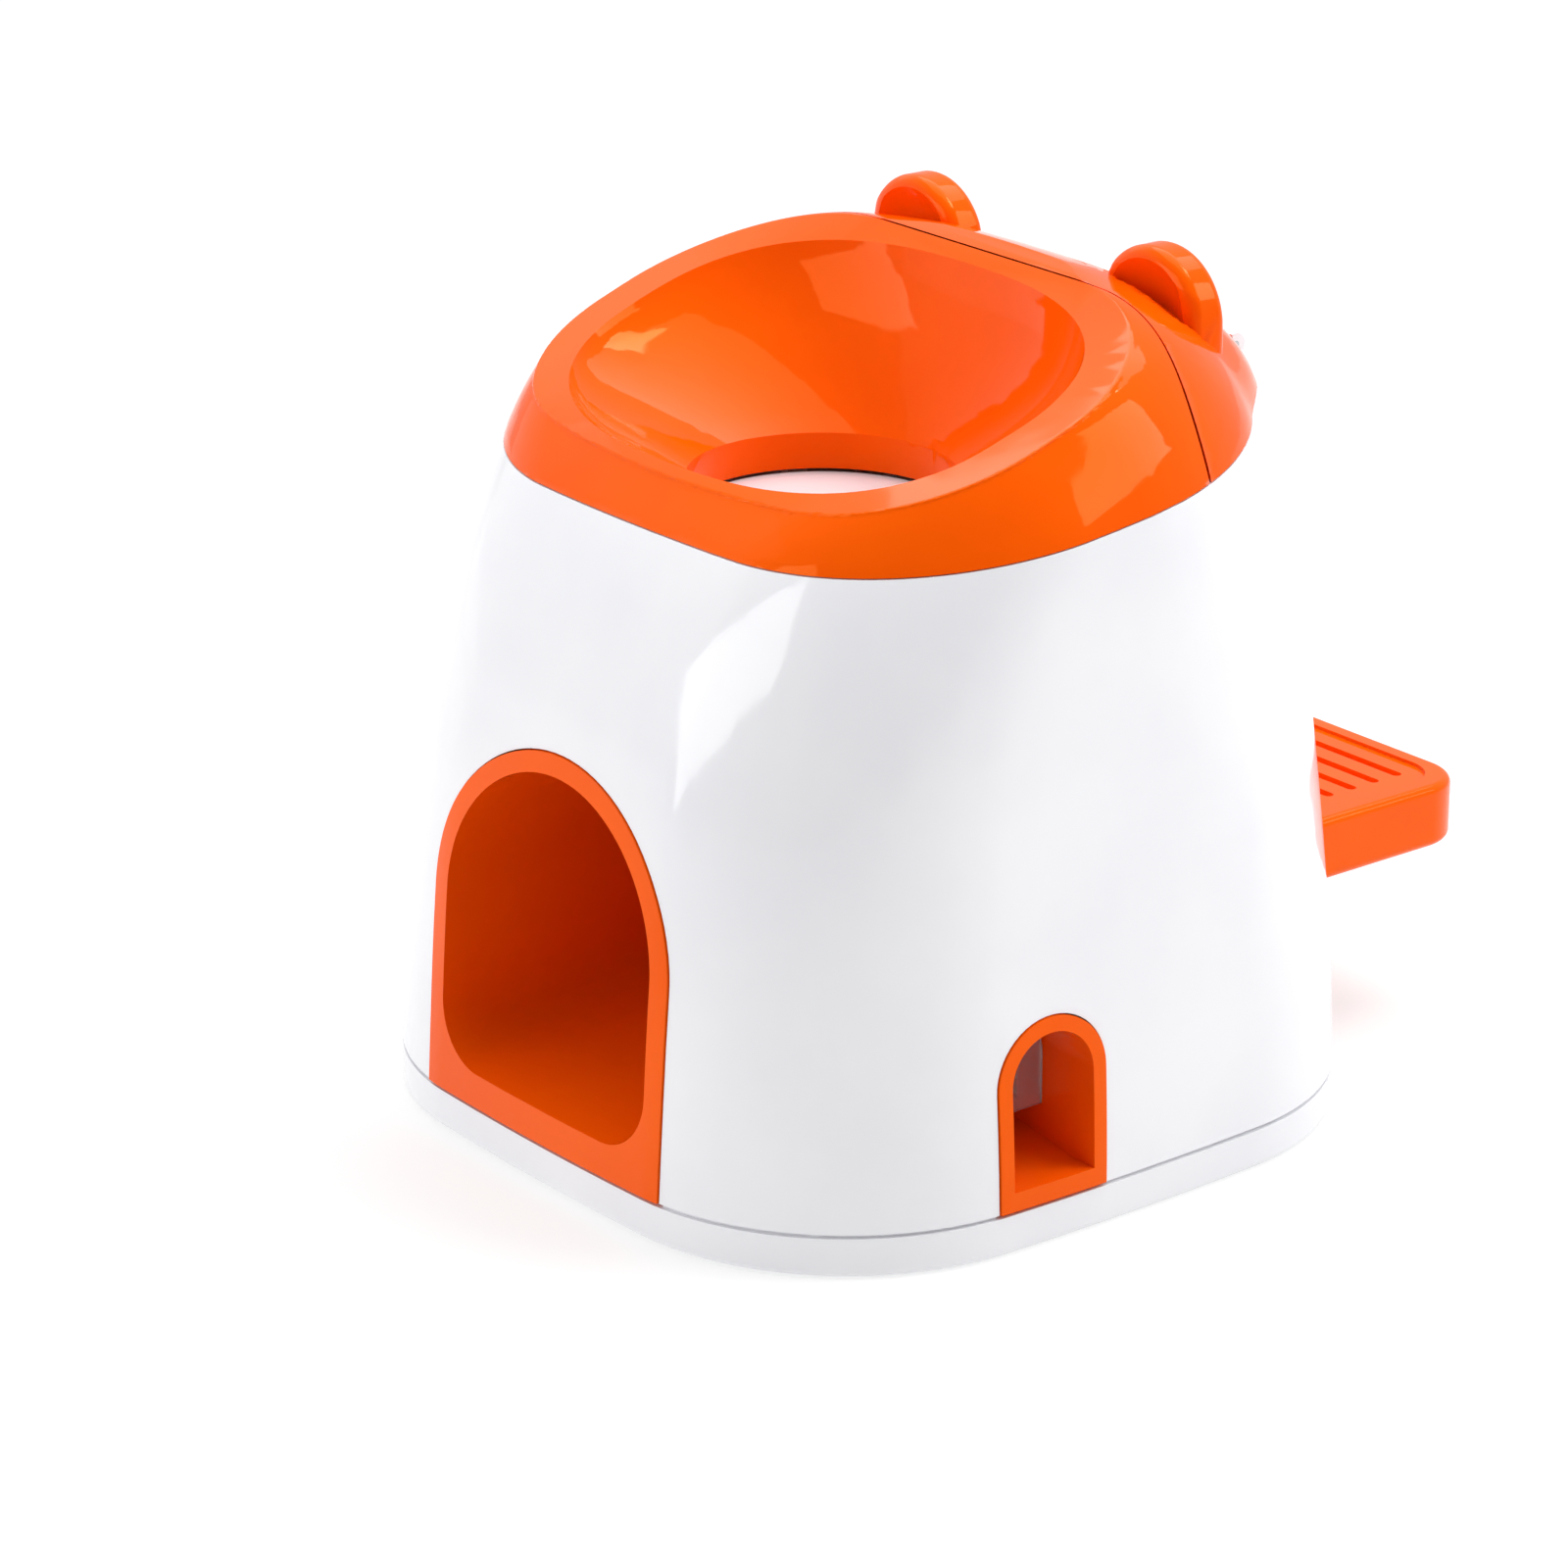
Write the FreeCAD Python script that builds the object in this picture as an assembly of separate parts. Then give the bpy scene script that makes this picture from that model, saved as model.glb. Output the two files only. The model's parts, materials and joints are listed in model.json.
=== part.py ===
"""Pet ball dispenser: a casing with a ball bowl on top, a front ball arch, a side treat spout and a
rear pedal that opens a ball gate and turns a treat wheel.

Millimetres. +Z up, front towards -Y, treat spout towards +X. The origin is the centre of the foot
on the surface that the machine stands on.
"""
import FreeCAD
import Part

import math
import os

Vec = FreeCAD.Vector

# ---------------------------------------------------------------- driving dimensions
# casing outline
FOOT_HALF_WIDTH = 112.5
FOOT_FRONT = 112.4
FOOT_REAR = 111.8
SEAM_Z = 186.7            # height of the cap seam above the origin
SEAM_SLOPE = 0.13         # the seam rises towards the rear
SIDE_TAPER = 9.0          # how much narrower each side is at the seam
SIDE_WAIST = 2.0          # extra draw-in half way up
FRONT_DRAFT = 9.0
FRONT_CROWN = 25.0        # how far the front leans back near the seam
FRONT_POWER = 5.0
REAR_CROWN = 17.5
REAR_POWER = 4.5
SIDE_BOW_FOOT = 989.0     # radius of each long side arc in plan
SIDE_BOW_SEAM = 661.0
CORNER_FOOT = 70.5
FRONT_CORNER_SEAM = 64.5
REAR_CORNER_SEAM = 77.0

# cap outline above the seam
RIM_Z = 214.2             # rim plane height above the origin
RIM_SLOPE = 0.356
RIM_NARROWING = 21.0      # each side, from the foot to the rim
RIM_FRONT = 71.5
RIM_REAR = 46.0
RIM_FRONT_CORNER = 50.0
RIM_REAR_CORNER = 40.0
RIM_BOW = 400.0
REAR_LEAN_POWER = 1.3
PARTING_Y = 43.0          # joint between cap and rear lid
PARTING_HALF = 58.0       # half length of its straight part
PARTING_SIDE_Y = 24.0     # where the joint meets the casing's side

# walls and clearances
FAR = 400.0               # cutting tools run this far past the casing
SHELL_WALL = 2.6
LINER_WALL = 2.4
SEAM_GAP = 0.4            # visible line between cap and shell
FIT_GAP = 0.3             # between pieces that move past each other
LINER_GAP = 0.4           # round the liners, in the shell
SHAFT_GAP = 0.05          # radial running clearance of shafts
FOOT_HEIGHT = 11.0
SEAT_Z = 12.1             # where the shell stands on the foot
SEAT_INSET = 1.2          # depth of the shadow line
FOOT_ROUND = 2.0

# bowl and throat
BOWL_EDGE = 12.9          # rim's width beside the bowl
BOWL_HALF_DEPTH = 50.4
BOWL_Y = -16.5
BOWL_SQUARENESS = 2.5     # exponent of the superellipse
BOWL_CURVE = 1.5          # over 1 makes the wall steep near the rim
BOWL_WALL = 2.4
THROAT_Y = -16.0
THROAT_R = 36.0
THROAT_TOP_Z = 178.0
THROAT_HEIGHT = 10.0

# front arch
ARCH_INSET = 61.5         # from the foot's side to the arch's side
ARCH_CENTRE_Z = 69.2
ARCH_RISE = 48.5
ARCH_BAND = 6.3
ARCH_SILL_Z = 21.5
ARCH_CORNER = 17.0
LINER_PROUD = 0.5
TUNNEL_FRAME_DEPTH = 17.0
TUNNEL_REAR_Y = 28.0
TUNNEL_ROOF_END_Y = -76.0
TUNNEL_SLOPE = 6.0        # degrees, the ball rolls out by itself
DROP_HALF_WIDTH = 38.5

# treat spout
SPOUT_Y = -29.0
SPOUT_HALF = 17.4
SPOUT_CENTRE_Z = 45.0
SPOUT_BAND = 4.2
SPOUT_SILL = 5.2
SPOUT_FRAME_DEPTH = 12.0
SPOUT_FALL = 7.0          # the floor falls this much towards the mouth

# rear lid and ears
LID_HINGE_Z_UP = 2.4      # hinge axis above the seam
LID_HINGE_OUT = 1.6       # hinge axis outside the rear wall
HINGE_R = 3.4
HINGE_PIN_R = 1.25
HINGE_KNUCKLE = 11.0
HINGE_HALF = 27.0
EAR_X = 48.0
EAR_Y = 61.5
EAR_R = 22.5
EAR_THICK = 14.0
EAR_TOP_Z = 239.5
EAR_ROUND = 4.0
EAR_SCOOP_R = 33.0
EAR_SCOOP_DEPTH = 6.0

# pedal and gear train, hinge axes along X
PEDAL_HINGE_Y = 56.0
PEDAL_HINGE_Z = 57.0
PEDAL_TRAVEL = 10.0
PEDAL_TOP_Z = 69.5
PEDAL_THICK = 18.5
PEDAL_END_Y = 167.0
PEDAL_CORNER = 15.0
PEDAL_SLOTS = 5
PEDAL_SLOT_PITCH = 8.8
PEDAL_SLOT_WIDTH = 3.0
FIRST_SLOT_INSET = 14.5
TREAD_INSET = 6.0
TREAD_DEPTH = 1.0
SECTOR_MODULE = 1.0
SECTOR_TEETH = 72         # teeth of the full circle
PINION_TEETH = 12
DRIVE_MODULE = 1.5
DRIVE_TEETH = 12
IDLER_TEETH = 32
GATE_HINGE_Y = 26.0
GATE_PLATE_R = 34.5
GATE_THICK = 3.0
GEAR_WIDTH = 4.0
PLATE_INSET = 57.5        # from the foot's side to the near side of the bearing plates
PLATE_THICK = 3.0
SHAFT_R = 3.0
IDLER_PIN_R = 2.5
WHEEL_R = 20.0
WHEEL_LENGTH = 21.0
WHEEL_POCKETS = 6
POCKET_R = 6.5

# smaller sizes
RIM_LIP = 4.0             # the foot's inner lip inside the shell
RIM_THICK = 2.2
FOOT_FLOOR = 3.0
FRONT_CUT_Y = 20.0        # the front arch is cut from the front up to here
LINER_SEAT_Z = 11.0       # the liners' frames stand on the foot here
POST_R = 5.0
POST_INSET = 7.2          # post centre inside the casing's outline
POST_TOP_Z = 40.0
SCREW_R = 1.5
SCREW_HEAD_R = 3.0
SCREW_HEAD = 2.5
SCREW_SUNK = 1.0          # screw heads below the foot's underside
PAD_R = 9.0
PAD_THICK = 1.6
PAD_INSET = 44.5
SPIGOT_INSET = 2.9
SPIGOT_WALL = 2.0
SPIGOT_END = 6.0          # the spigot stops this far ahead of the lid
FLANGE_LEVEL = 0.015
LEDGE = 2.6               # depth of the ledge that the lid's edge rests on
LEDGE_BACK = 5.0
LEDGE_AHEAD = 4.0
LID_SWING_GAP = 0.8       # more room at the lid's low corners, which first swing forwards
FIN_X = 22.0
FIN_Y0 = -20.0
FIN_Y1 = 10.0
SPOUT_WALL = 2.0
FLAP_INSET = 21.3         # from the foot's side to the flap
FLAP_HINGE_Z = 52.0
FLAP_BOTTOM_Z = 28.5
FLAP_THICK = 1.6
FLAP_SHOULDER = 2.5       # the flap's shoulders stay this far below the arch
FLAP_HUB_R = 2.2
FLAP_PIN_R = 1.0
CHUTE_WIDTH = 20.0
CHUTE_WALL = 1.6
CHUTE_HEIGHT = 12.0
CHUTE_START_Y = 79.0
CHUTE_START_Z = 64.0
CHUTE_END_Z = 26.0
CHUTE_LEG_Y = (5.0, 60.0)
KNUCKLE_FALL = 9.0
SLOT_GAP = 0.8
HOPPER_Y = 44.0
HOPPER_INSET_X = 24.5     # from the foot's side to the hopper's mouth
HOPPER_LEFT_Z = 184.0
HOPPER_RIGHT_Z = 171.2
HOPPER_SLOPE_END = 20.0   # the right wall's slope ends this far below the floor's low side
HOPPER_WALL = 1.8
HOPPER_INSET = 4.2
HOPPER_LOW_LEVEL = 0.35
HOPPER_TOP_LEVEL = 0.99
SEAL_LEVEL = 0.008
NECK_HALF = 9.0
GUARD = 2.2
POCKET_FLANGE = 1.6
PLATE_Y0 = 18.0
PLATE_Y1 = 86.0
FLANGE = 10.0
WINDOW_Z = 30.0           # weight-saving windows low in the plates
WINDOW_R = 9.0
GEAR_SIDE_GAP = 0.5
WHEEL_SIDE_GAP = 1.0
CHEEK_GAP = 2.5
CHEEK_HALF = 12.0
SLOT_END_INSET = 14.5
FLANGE_Y0 = 36.0
FLANGE_Y1 = 82.0
FLANGE_SCREW_Y = (42.0, 76.0)
BACKLASH = 0.12
SECTOR_COUNT = 7
SECTOR_HUB_R = 8.0
SECTOR_ARM_Y = 84.0
SPACER_R = 6.0            # keeps the pedal centred between the plates
IDLER_HOLES = 5
PEDAL_PAD_Y = 90.0
PEDAL_ROUND = 2.5
PEDAL_WALL = 3.0
PEDAL_SLOT_DEPTH = 2.0
TREAD_NEAR = 6.0
ARM_WIDTH = 10.0
ARM_HUB_R = 9.0
ARM_LOW = 5.0
ARM_HIGH = 7.0
BUSH_R = 4.5
SPRING_Y = 98.0
SPRING_R = 7.0
SPRING_WIRE = 0.9
SPRING_TURNS = 5
SPRING_SIDES = 12
SPRING_SEAT_R = 8.0
SPRING_FOOT_Z = 14.0
BUMPER_X = 40.0
BUMPER_Y = 100.0
BUMPER_R = 4.0
BUMPER_HEIGHT = 4.0
GATE_LIFT = 6.2
GATE_DISH_R = 160.0
GATE_DISH = 1.2
GATE_ARM_X = 20.0
GATE_ARM_WIDTH = 6.0
GATE_HUB_R = 5.5
GATE_HUB_HALF = 34.0
CLIP_THICK = 1.0
FLAT_HEAD = 0.4           # sector screws have flat heads, clear of the plate
CLIP_WIDTH = 2.0

# ---------------------------------------------------------------- derived places
SECTOR_R = SECTOR_MODULE * SECTOR_TEETH / 2
PINION_R = SECTOR_MODULE * PINION_TEETH / 2
DRIVE_R = DRIVE_MODULE * DRIVE_TEETH / 2
IDLER_R = DRIVE_MODULE * IDLER_TEETH / 2
WHEEL_Y = PEDAL_HINGE_Y
WHEEL_Z = PEDAL_HINGE_Z + SECTOR_R + PINION_R
TRAIN_LENGTH = 2 * (DRIVE_R + IDLER_R)
GATE_HINGE_Z = WHEEL_Z + math.sqrt(TRAIN_LENGTH ** 2 - (WHEEL_Y - GATE_HINGE_Y) ** 2)
IDLER_Y = (WHEEL_Y + GATE_HINGE_Y) / 2
IDLER_Z = (WHEEL_Z + GATE_HINGE_Z) / 2
RIM_HALF_WIDTH = FOOT_HALF_WIDTH - RIM_NARROWING
ARCH_HALF = FOOT_HALF_WIDTH - ARCH_INSET
BOWL_HALF_WIDTH = RIM_HALF_WIDTH - BOWL_EDGE
PLATE_X = FOOT_HALF_WIDTH - PLATE_INSET
DRIVE_X = PLATE_X - GEAR_WIDTH - GEAR_SIDE_GAP           # near side of the gate's gear train
SECTOR_X = DRIVE_X - GEAR_WIDTH - GEAR_SIDE_GAP          # near side of the sector and its pinion
WHEEL_X0 = PLATE_X + PLATE_THICK + WHEEL_SIDE_GAP
WHEEL_X1 = WHEEL_X0 + WHEEL_LENGTH
CHEEK_X = WHEEL_X1 + CHEEK_GAP
PEDAL_HALF_WIDTH = PLATE_X + FLANGE
PEDAL_SLOT_HALF = PEDAL_HALF_WIDTH - SLOT_END_INSET
ARM_X1 = SECTOR_X
ARM_X0 = ARM_X1 - ARM_WIDTH
CHUTE_X0 = PLATE_X + PLATE_THICK + CHEEK_GAP
CHUTE_X1 = CHUTE_X0 + CHUTE_WIDTH
SPOUT_END_X = CHUTE_X0 - FIT_GAP
FLAP_X = FOOT_HALF_WIDTH - FLAP_INSET
HOPPER_HALF = FOOT_HALF_WIDTH - HOPPER_INSET_X
PAD_PLACE = FOOT_HALF_WIDTH - PAD_INSET
SPOUT_INNER = SPOUT_HALF - SPOUT_BAND
SPOUT_FLOOR_Z = SEAT_Z + SPOUT_SILL
CHUTE_END_Y = SPOUT_Y + SPOUT_INNER + SPOUT_WALL + FIT_GAP
PRESS = math.radians(PEDAL_TRAVEL)
SLOT_DROP = (FOOT_REAR - PEDAL_HINGE_Y) * math.sin(PRESS) + SLOT_GAP   # room under the pedal for its travel
BUMPER_TOP_Z = (PEDAL_HINGE_Z - (PEDAL_HINGE_Z - PEDAL_TOP_Z + PEDAL_THICK) * math.cos(PRESS)
                - (BUMPER_Y + BUMPER_R - PEDAL_HINGE_Y) * math.sin(PRESS) - FIT_GAP)
BUMPER_POST_Z = BUMPER_TOP_Z - BUMPER_HEIGHT


# ---------------------------------------------------------------- small tools
def cyl(axis, centre, radius, start, end):
    """Cylinder along X, Y or Z; centre gives the two other coordinates in X, Y, Z order."""
    direction = {"x": Vec(1, 0, 0), "y": Vec(0, 1, 0), "z": Vec(0, 0, 1)}[axis]
    first, second = centre
    base = {"x": Vec(start, first, second), "y": Vec(first, start, second),
            "z": Vec(first, second, start)}[axis]
    return Part.makeCylinder(radius, end - start, base, direction)


def box(x0, x1, y0, y1, z0, z1):
    return Part.makeBox(x1 - x0, y1 - y0, z1 - z0, Vec(x0, y0, z0))


def prism(points, axis, start, end):
    """Extrude a closed outline; points give the two coordinates across the axis, in X, Y, Z order."""
    place = {"x": lambda a, b: Vec(start, a, b), "y": lambda a, b: Vec(a, start, b),
             "z": lambda a, b: Vec(a, b, start)}[axis]
    push = {"x": Vec(end - start, 0, 0), "y": Vec(0, end - start, 0), "z": Vec(0, 0, end - start)}[axis]
    corners = [place(*point) for point in points]
    return Part.Face(Part.makePolygon(corners + corners[:1])).extrude(push)


def fuse(shapes):
    shapes = list(shapes)
    whole = shapes[0].multiFuse(shapes[1:]) if len(shapes) > 1 else shapes[0]
    return whole.removeSplitter()


def drilled(shape, tools):
    return shape.cut(Part.makeCompound(list(tools)))


def largest(shape):
    return max(shape.Solids, key=lambda solid: solid.Volume)


# ---------------------------------------------------------------- outlines in plan
def corner_centre(half_x, half_y, bow, corner):
    """Centre and tangent angles of the arc that joins two bowed sides."""
    side = Vec(half_x - bow, 0, 0)
    end = Vec(0, half_y - bow, 0)
    reach = bow - corner
    middle = (side + end) * 0.5
    half = (end - side).Length / 2
    across = Vec(-(end - side).y, (end - side).x, 0).normalize()
    centre = middle + across * math.sqrt(reach ** 2 - half ** 2)
    to_side = math.atan2(centre.y - side.y, centre.x - side.x)
    to_end = math.atan2(centre.y - end.y, centre.x - end.x)
    return centre, to_side, to_end


def bowed_outline(half_x, front, rear, bow, front_corner, rear_corner):
    """Rounded rectangle whose sides are long arcs, as a closed wire of eight arcs at z = 0."""
    half_y = (front + rear) / 2
    shift = Vec(0, (rear - front) / 2, 0)
    edges = []

    def at(centre, radius, angle, sign_x, sign_y):
        return Vec(sign_x * (centre.x + radius * math.cos(angle)),
                   sign_y * (centre.y + radius * math.sin(angle)), 0) + shift

    def arc(points):
        edges.append(Part.Arc(*points).toShape())

    front_c, front_s, front_e = corner_centre(half_x, half_y, bow, front_corner)
    rear_c, rear_s, rear_e = corner_centre(half_x, half_y, bow, rear_corner)
    right = Vec(half_x - bow, 0, 0)
    far = Vec(0, half_y - bow, 0)
    corners = [(front_c, front_s, front_e, front_corner, 1, -1), (rear_c, rear_s, rear_e, rear_corner, 1, 1),
               (rear_c, rear_s, rear_e, rear_corner, -1, 1), (front_c, front_s, front_e, front_corner, -1, -1)]

    arc([at(right, bow, front_s, 1, -1), Vec(half_x, 0, 0) + shift, at(right, bow, rear_s, 1, 1)])
    for number, (centre, side, end, radius, sign_x, sign_y) in enumerate(corners[1:], 1):
        ends = [at(centre, radius, angle, sign_x, sign_y) for angle in (side, (side + end) / 2, end)]
        arc(ends if number != 2 else ends[::-1])
        if number == 1:
            arc([at(far, bow, rear_e, 1, 1), Vec(0, half_y, 0) + shift, at(far, bow, rear_e, -1, 1)])
        if number == 2:
            arc([at(right, bow, rear_s, -1, 1), Vec(-half_x, 0, 0) + shift,
                 at(right, bow, front_s, -1, -1)])
    arc([at(far, bow, front_e, -1, -1), Vec(0, -half_y, 0) + shift, at(far, bow, front_e, 1, -1)])
    ends = [at(front_c, front_corner, angle, 1, -1) for angle in (front_e, (front_s + front_e) / 2, front_s)]
    arc(ends)
    return Part.Wire(edges)


def on_plane(wire, height, slope):
    """Lift a flat wire straight up onto a plane that rises towards +Y."""
    shear = FreeCAD.Matrix(1, 0, 0, 0, 0, 1, 0, 0, 0, slope, 1, height, 0, 0, 0, 1)
    return wire.transformGeometry(shear)


def blend(low, high, share):
    return low + (high - low) * share


def body_section(level, inset):
    """Casing outline at a level from 0 at the foot to 1 at the cap seam, drawn in by inset."""
    grown = max(level, 0.0)
    half_x = FOOT_HALF_WIDTH - SIDE_TAPER / 2 * (1 - math.cos(math.pi * level))
    half_x -= SIDE_WAIST * math.sin(math.pi * level)
    front = FOOT_FRONT - FRONT_DRAFT * level - FRONT_CROWN * grown ** FRONT_POWER
    rear = FOOT_REAR - REAR_CROWN * grown ** REAR_POWER
    bow = blend(SIDE_BOW_FOOT, SIDE_BOW_SEAM, level) - inset
    flat = bowed_outline(half_x - inset, front - inset, rear - inset, bow,
                         blend(CORNER_FOOT, FRONT_CORNER_SEAM, level) - inset,
                         blend(CORNER_FOOT, REAR_CORNER_SEAM, level) - inset)
    return on_plane(flat, blend(FOOT_HEIGHT, SEAM_Z, level), SEAM_SLOPE * level)


def body_solid(inset, low, high, count=7):
    levels = [blend(low, high, step / (count - 1)) for step in range(count)]
    return Part.makeLoft([body_section(level, inset) for level in levels], True, False)


def crown_section(level, inset):
    """Cap outline from 0 at the seam to 1 on the rim plane, with an elliptical shoulder."""
    lean = 1 - math.sqrt(max(1 - level ** 2, 0)) if level > 0 else 0
    seam_half = FOOT_HALF_WIDTH - SIDE_TAPER
    seam_front = FOOT_FRONT - FRONT_DRAFT - FRONT_CROWN
    seam_rear = FOOT_REAR - REAR_CROWN
    rear_lean = max(level, 0) ** REAR_LEAN_POWER
    flat = bowed_outline(blend(seam_half, RIM_HALF_WIDTH, lean) - inset,
                         blend(seam_front, RIM_FRONT, lean) - inset,
                         blend(seam_rear, RIM_REAR, rear_lean) - inset,
                         blend(SIDE_BOW_SEAM, RIM_BOW, lean) - inset,
                         blend(FRONT_CORNER_SEAM, RIM_FRONT_CORNER, lean) - inset,
                         blend(REAR_CORNER_SEAM, RIM_REAR_CORNER, rear_lean) - inset)
    height = blend(SEAM_Z, RIM_Z, level) - inset
    return on_plane(flat, height, blend(SEAM_SLOPE, RIM_SLOPE, level))


def crown_solid(inset):
    """Cap form up to the rim plane, drawn in and lowered by inset."""
    levels = (0, 0.25, 0.5, 0.72, 0.88, 0.97, 1)
    return Part.makeLoft([crown_section(level, inset) for level in levels], True, False)


def seam_gap_level():
    return SEAM_GAP / (SEAM_Z - FOOT_HEIGHT)


def ahead_of_parting(shift, side_shift=0.0):
    """Tall block over everything in front of the joint between cap and lid, moved back by shift.

    side_shift moves it further back at the casing's sides only.
    """
    reach = 2 * FOOT_HALF_WIDTH
    far = PARTING_SIDE_Y - (PARTING_Y - PARTING_SIDE_Y)
    middle = (PARTING_HALF + FOOT_HALF_WIDTH) / 2
    side_y = PARTING_SIDE_Y + side_shift
    dip = PARTING_Y - 0.3 * (PARTING_Y - side_y)
    curve = [Vec(PARTING_HALF, PARTING_Y, 0), Vec(middle, dip, 0), Vec(FOOT_HALF_WIDTH, side_y, 0)]
    edges = []
    for side in (1, -1):
        bend = [Vec(side * point.x, point.y + shift, 0) for point in curve]
        edges.append(Part.Arc(*bend).toShape())
        edges.append(Part.makeLine(bend[-1], Vec(side * reach, far + shift, 0)))
        edges.append(Part.makeLine(Vec(side * reach, far + shift, 0), Vec(side * reach, -reach, 0)))
    edges.append(Part.makeLine(Vec(-PARTING_HALF, PARTING_Y + shift, 0),
                               Vec(PARTING_HALF, PARTING_Y + shift, 0)))
    edges.append(Part.makeLine(Vec(-reach, -reach, 0), Vec(reach, -reach, 0)))
    wire = Part.Wire(Part.__sortEdges__(edges))
    return Part.Face(wire).extrude(Vec(0, 0, 2 * RIM_Z))


# ---------------------------------------------------------------- arches and bowl
def half_ellipse(half, centre_z, rise, at):
    """Top of an arch from its right springing over to its left one."""
    centre, crown = at(0, centre_z), at(0, centre_z + rise)
    right, left = at(half, centre_z), at(-half, centre_z)
    if abs(half - rise) < 0.001:
        return Part.Arc(right, crown, left).toShape()
    if half > rise:
        return Part.Ellipse(right, crown, centre).toShape(0, math.pi)
    return Part.Ellipse(crown, left, centre).toShape(-math.pi / 2, math.pi / 2)


def arch_face(half, centre_z, rise, bottom, corner, at):
    """Arch: half ellipse on straight sides, with rounded lower corners if corner is over zero."""
    edges = [half_ellipse(half, centre_z, rise, at)]
    side = corner * (1 - math.sqrt(0.5))
    for sign in (-1, 1):
        edges.append(Part.makeLine(at(sign * half, centre_z), at(sign * half, bottom + corner)))
        if corner > 0:
            edges.append(Part.Arc(at(sign * half, bottom + corner), at(sign * (half - side), bottom + side),
                                  at(sign * (half - corner), bottom)).toShape())
    edges.append(Part.makeLine(at(-half + corner, bottom), at(half - corner, bottom)))
    return Part.Face(Part.Wire(Part.__sortEdges__(edges)))


def front_arch(grow, bottom, corner, start, run):
    """Solid of the front arch, grown by grow, from y = start along the vector run."""
    face = arch_face(ARCH_HALF + grow, ARCH_CENTRE_Z, ARCH_RISE + grow, bottom, corner,
                     lambda across, up: Vec(across, start, up))
    return face.extrude(run)


def side_arch(grow, bottom, start, end):
    face = arch_face(SPOUT_HALF + grow, SPOUT_CENTRE_Z, SPOUT_HALF + grow, bottom, 0,
                     lambda across, up: Vec(start, SPOUT_Y + across, up))
    return face.extrude(Vec(end - start, 0, 0))


def ring_wire(points):
    curve = Part.BSplineCurve()
    curve.interpolate(Points=points, PeriodicFlag=True)
    return Part.Wire(curve.toShape())


def bowl_ring(share, grow, lift):
    """Bowl section from 0 at the rim to 1 at the throat, as a closed smooth curve."""
    inward = share ** BOWL_CURVE
    count = 24
    points = []
    for step in range(count):
        angle = 2 * math.pi * step / count
        cos_a, sin_a = math.cos(angle), math.sin(angle)
        power = 2 / BOWL_SQUARENESS
        rim_x = math.copysign(abs(cos_a) ** power, cos_a) * (BOWL_HALF_WIDTH + grow)
        rim_y = BOWL_Y + math.copysign(abs(sin_a) ** power, sin_a) * (BOWL_HALF_DEPTH + grow)
        low_x = cos_a * (THROAT_R + grow)
        low_y = THROAT_Y + sin_a * (THROAT_R + grow)
        at_x = blend(rim_x, low_x, inward)
        at_y = blend(rim_y, low_y, inward)
        points.append(Vec(at_x, at_y, blend(RIM_Z + RIM_SLOPE * at_y + lift, THROAT_TOP_Z, share)))
    return ring_wire(points)


def bowl_solid(grow, lift):
    shares = (0, 0.3, 0.6, 0.85, 1)
    bowl = Part.makeLoft([bowl_ring(share, grow, lift) for share in shares], True, False)
    throat = Part.Face(bowl_ring(1, grow, lift)).extrude(Vec(0, 0, -THROAT_HEIGHT))
    return bowl.fuse(throat)


# ---------------------------------------------------------------- casing
def base_plate():
    outline = bowed_outline(FOOT_HALF_WIDTH, FOOT_FRONT, FOOT_REAR, SIDE_BOW_FOOT, CORNER_FOOT, CORNER_FOOT)
    slab = Part.Face(outline).extrude(Vec(0, 0, FOOT_HEIGHT))
    lower = [edge for edge in slab.Edges if edge.BoundBox.ZMax < FOOT_ROUND / 2]
    slab = slab.makeFillet(FOOT_ROUND, lower)
    step = foot_prism(SEAT_INSET, FOOT_HEIGHT - 1, SEAT_Z)
    rim = foot_prism(SHELL_WALL + FIT_GAP, SEAT_Z - 1, SEAT_Z + RIM_LIP)
    well = foot_prism(SHELL_WALL + FIT_GAP + RIM_THICK, FOOT_FLOOR, SEAT_Z + 2 * RIM_LIP)
    posts = [cyl("z", place, POST_R, FOOT_FLOOR - 1, SEAT_Z) for place in shell_posts()]
    posts.append(cyl("z", (0, SPRING_Y), SPRING_SEAT_R, FOOT_FLOOR - 1, SPRING_FOOT_Z))
    posts.append(cyl("z", (0, SPRING_Y), SPRING_R - 3 * SPRING_WIRE, FOOT_FLOOR - 1, SPRING_FOOT_Z + 4))
    posts += [cyl("z", (side * BUMPER_X, BUMPER_Y), BUMPER_R + 1.5, FOOT_FLOOR - 1, BUMPER_POST_Z)
              for side in (1, -1)]
    tray = fuse([slab, step, rim]).cut(well)
    lip_cut = [front_arch(LINER_GAP, 0, 0, -FAR, Vec(0, FAR - FRONT_CUT_Y, 0)),
               side_arch(LINER_GAP, 0, SPOUT_END_X, FAR)]
    above = box(-FAR, FAR, -FAR, FAR, LINER_SEAT_Z, FAR)
    tray = drilled(tray, [tool.common(above) for tool in lip_cut])
    tray = fuse([tray] + posts)
    tray = drilled(tray, [cyl("z", place, POST_R + FIT_GAP, SEAT_Z, SEAT_Z + 2 * RIM_LIP)
                          for place in shell_posts()])
    holes = [cyl("z", place, SCREW_R + 0.2, -1, SEAT_Z + 1) for place in shell_posts()]
    holes += [cyl("z", place, SCREW_HEAD_R + 0.3, -1, SCREW_SUNK + SCREW_HEAD) for place in shell_posts()]
    holes += [cyl("z", place, PAD_R + 0.1, -1, PAD_THICK) for place in pad_places()]
    holes += [cyl("z", place, SCREW_R, FOOT_FLOOR - 2, FOOT_FLOOR + 1) for place in plate_screw_places()]
    return drilled(tray, holes)


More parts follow.
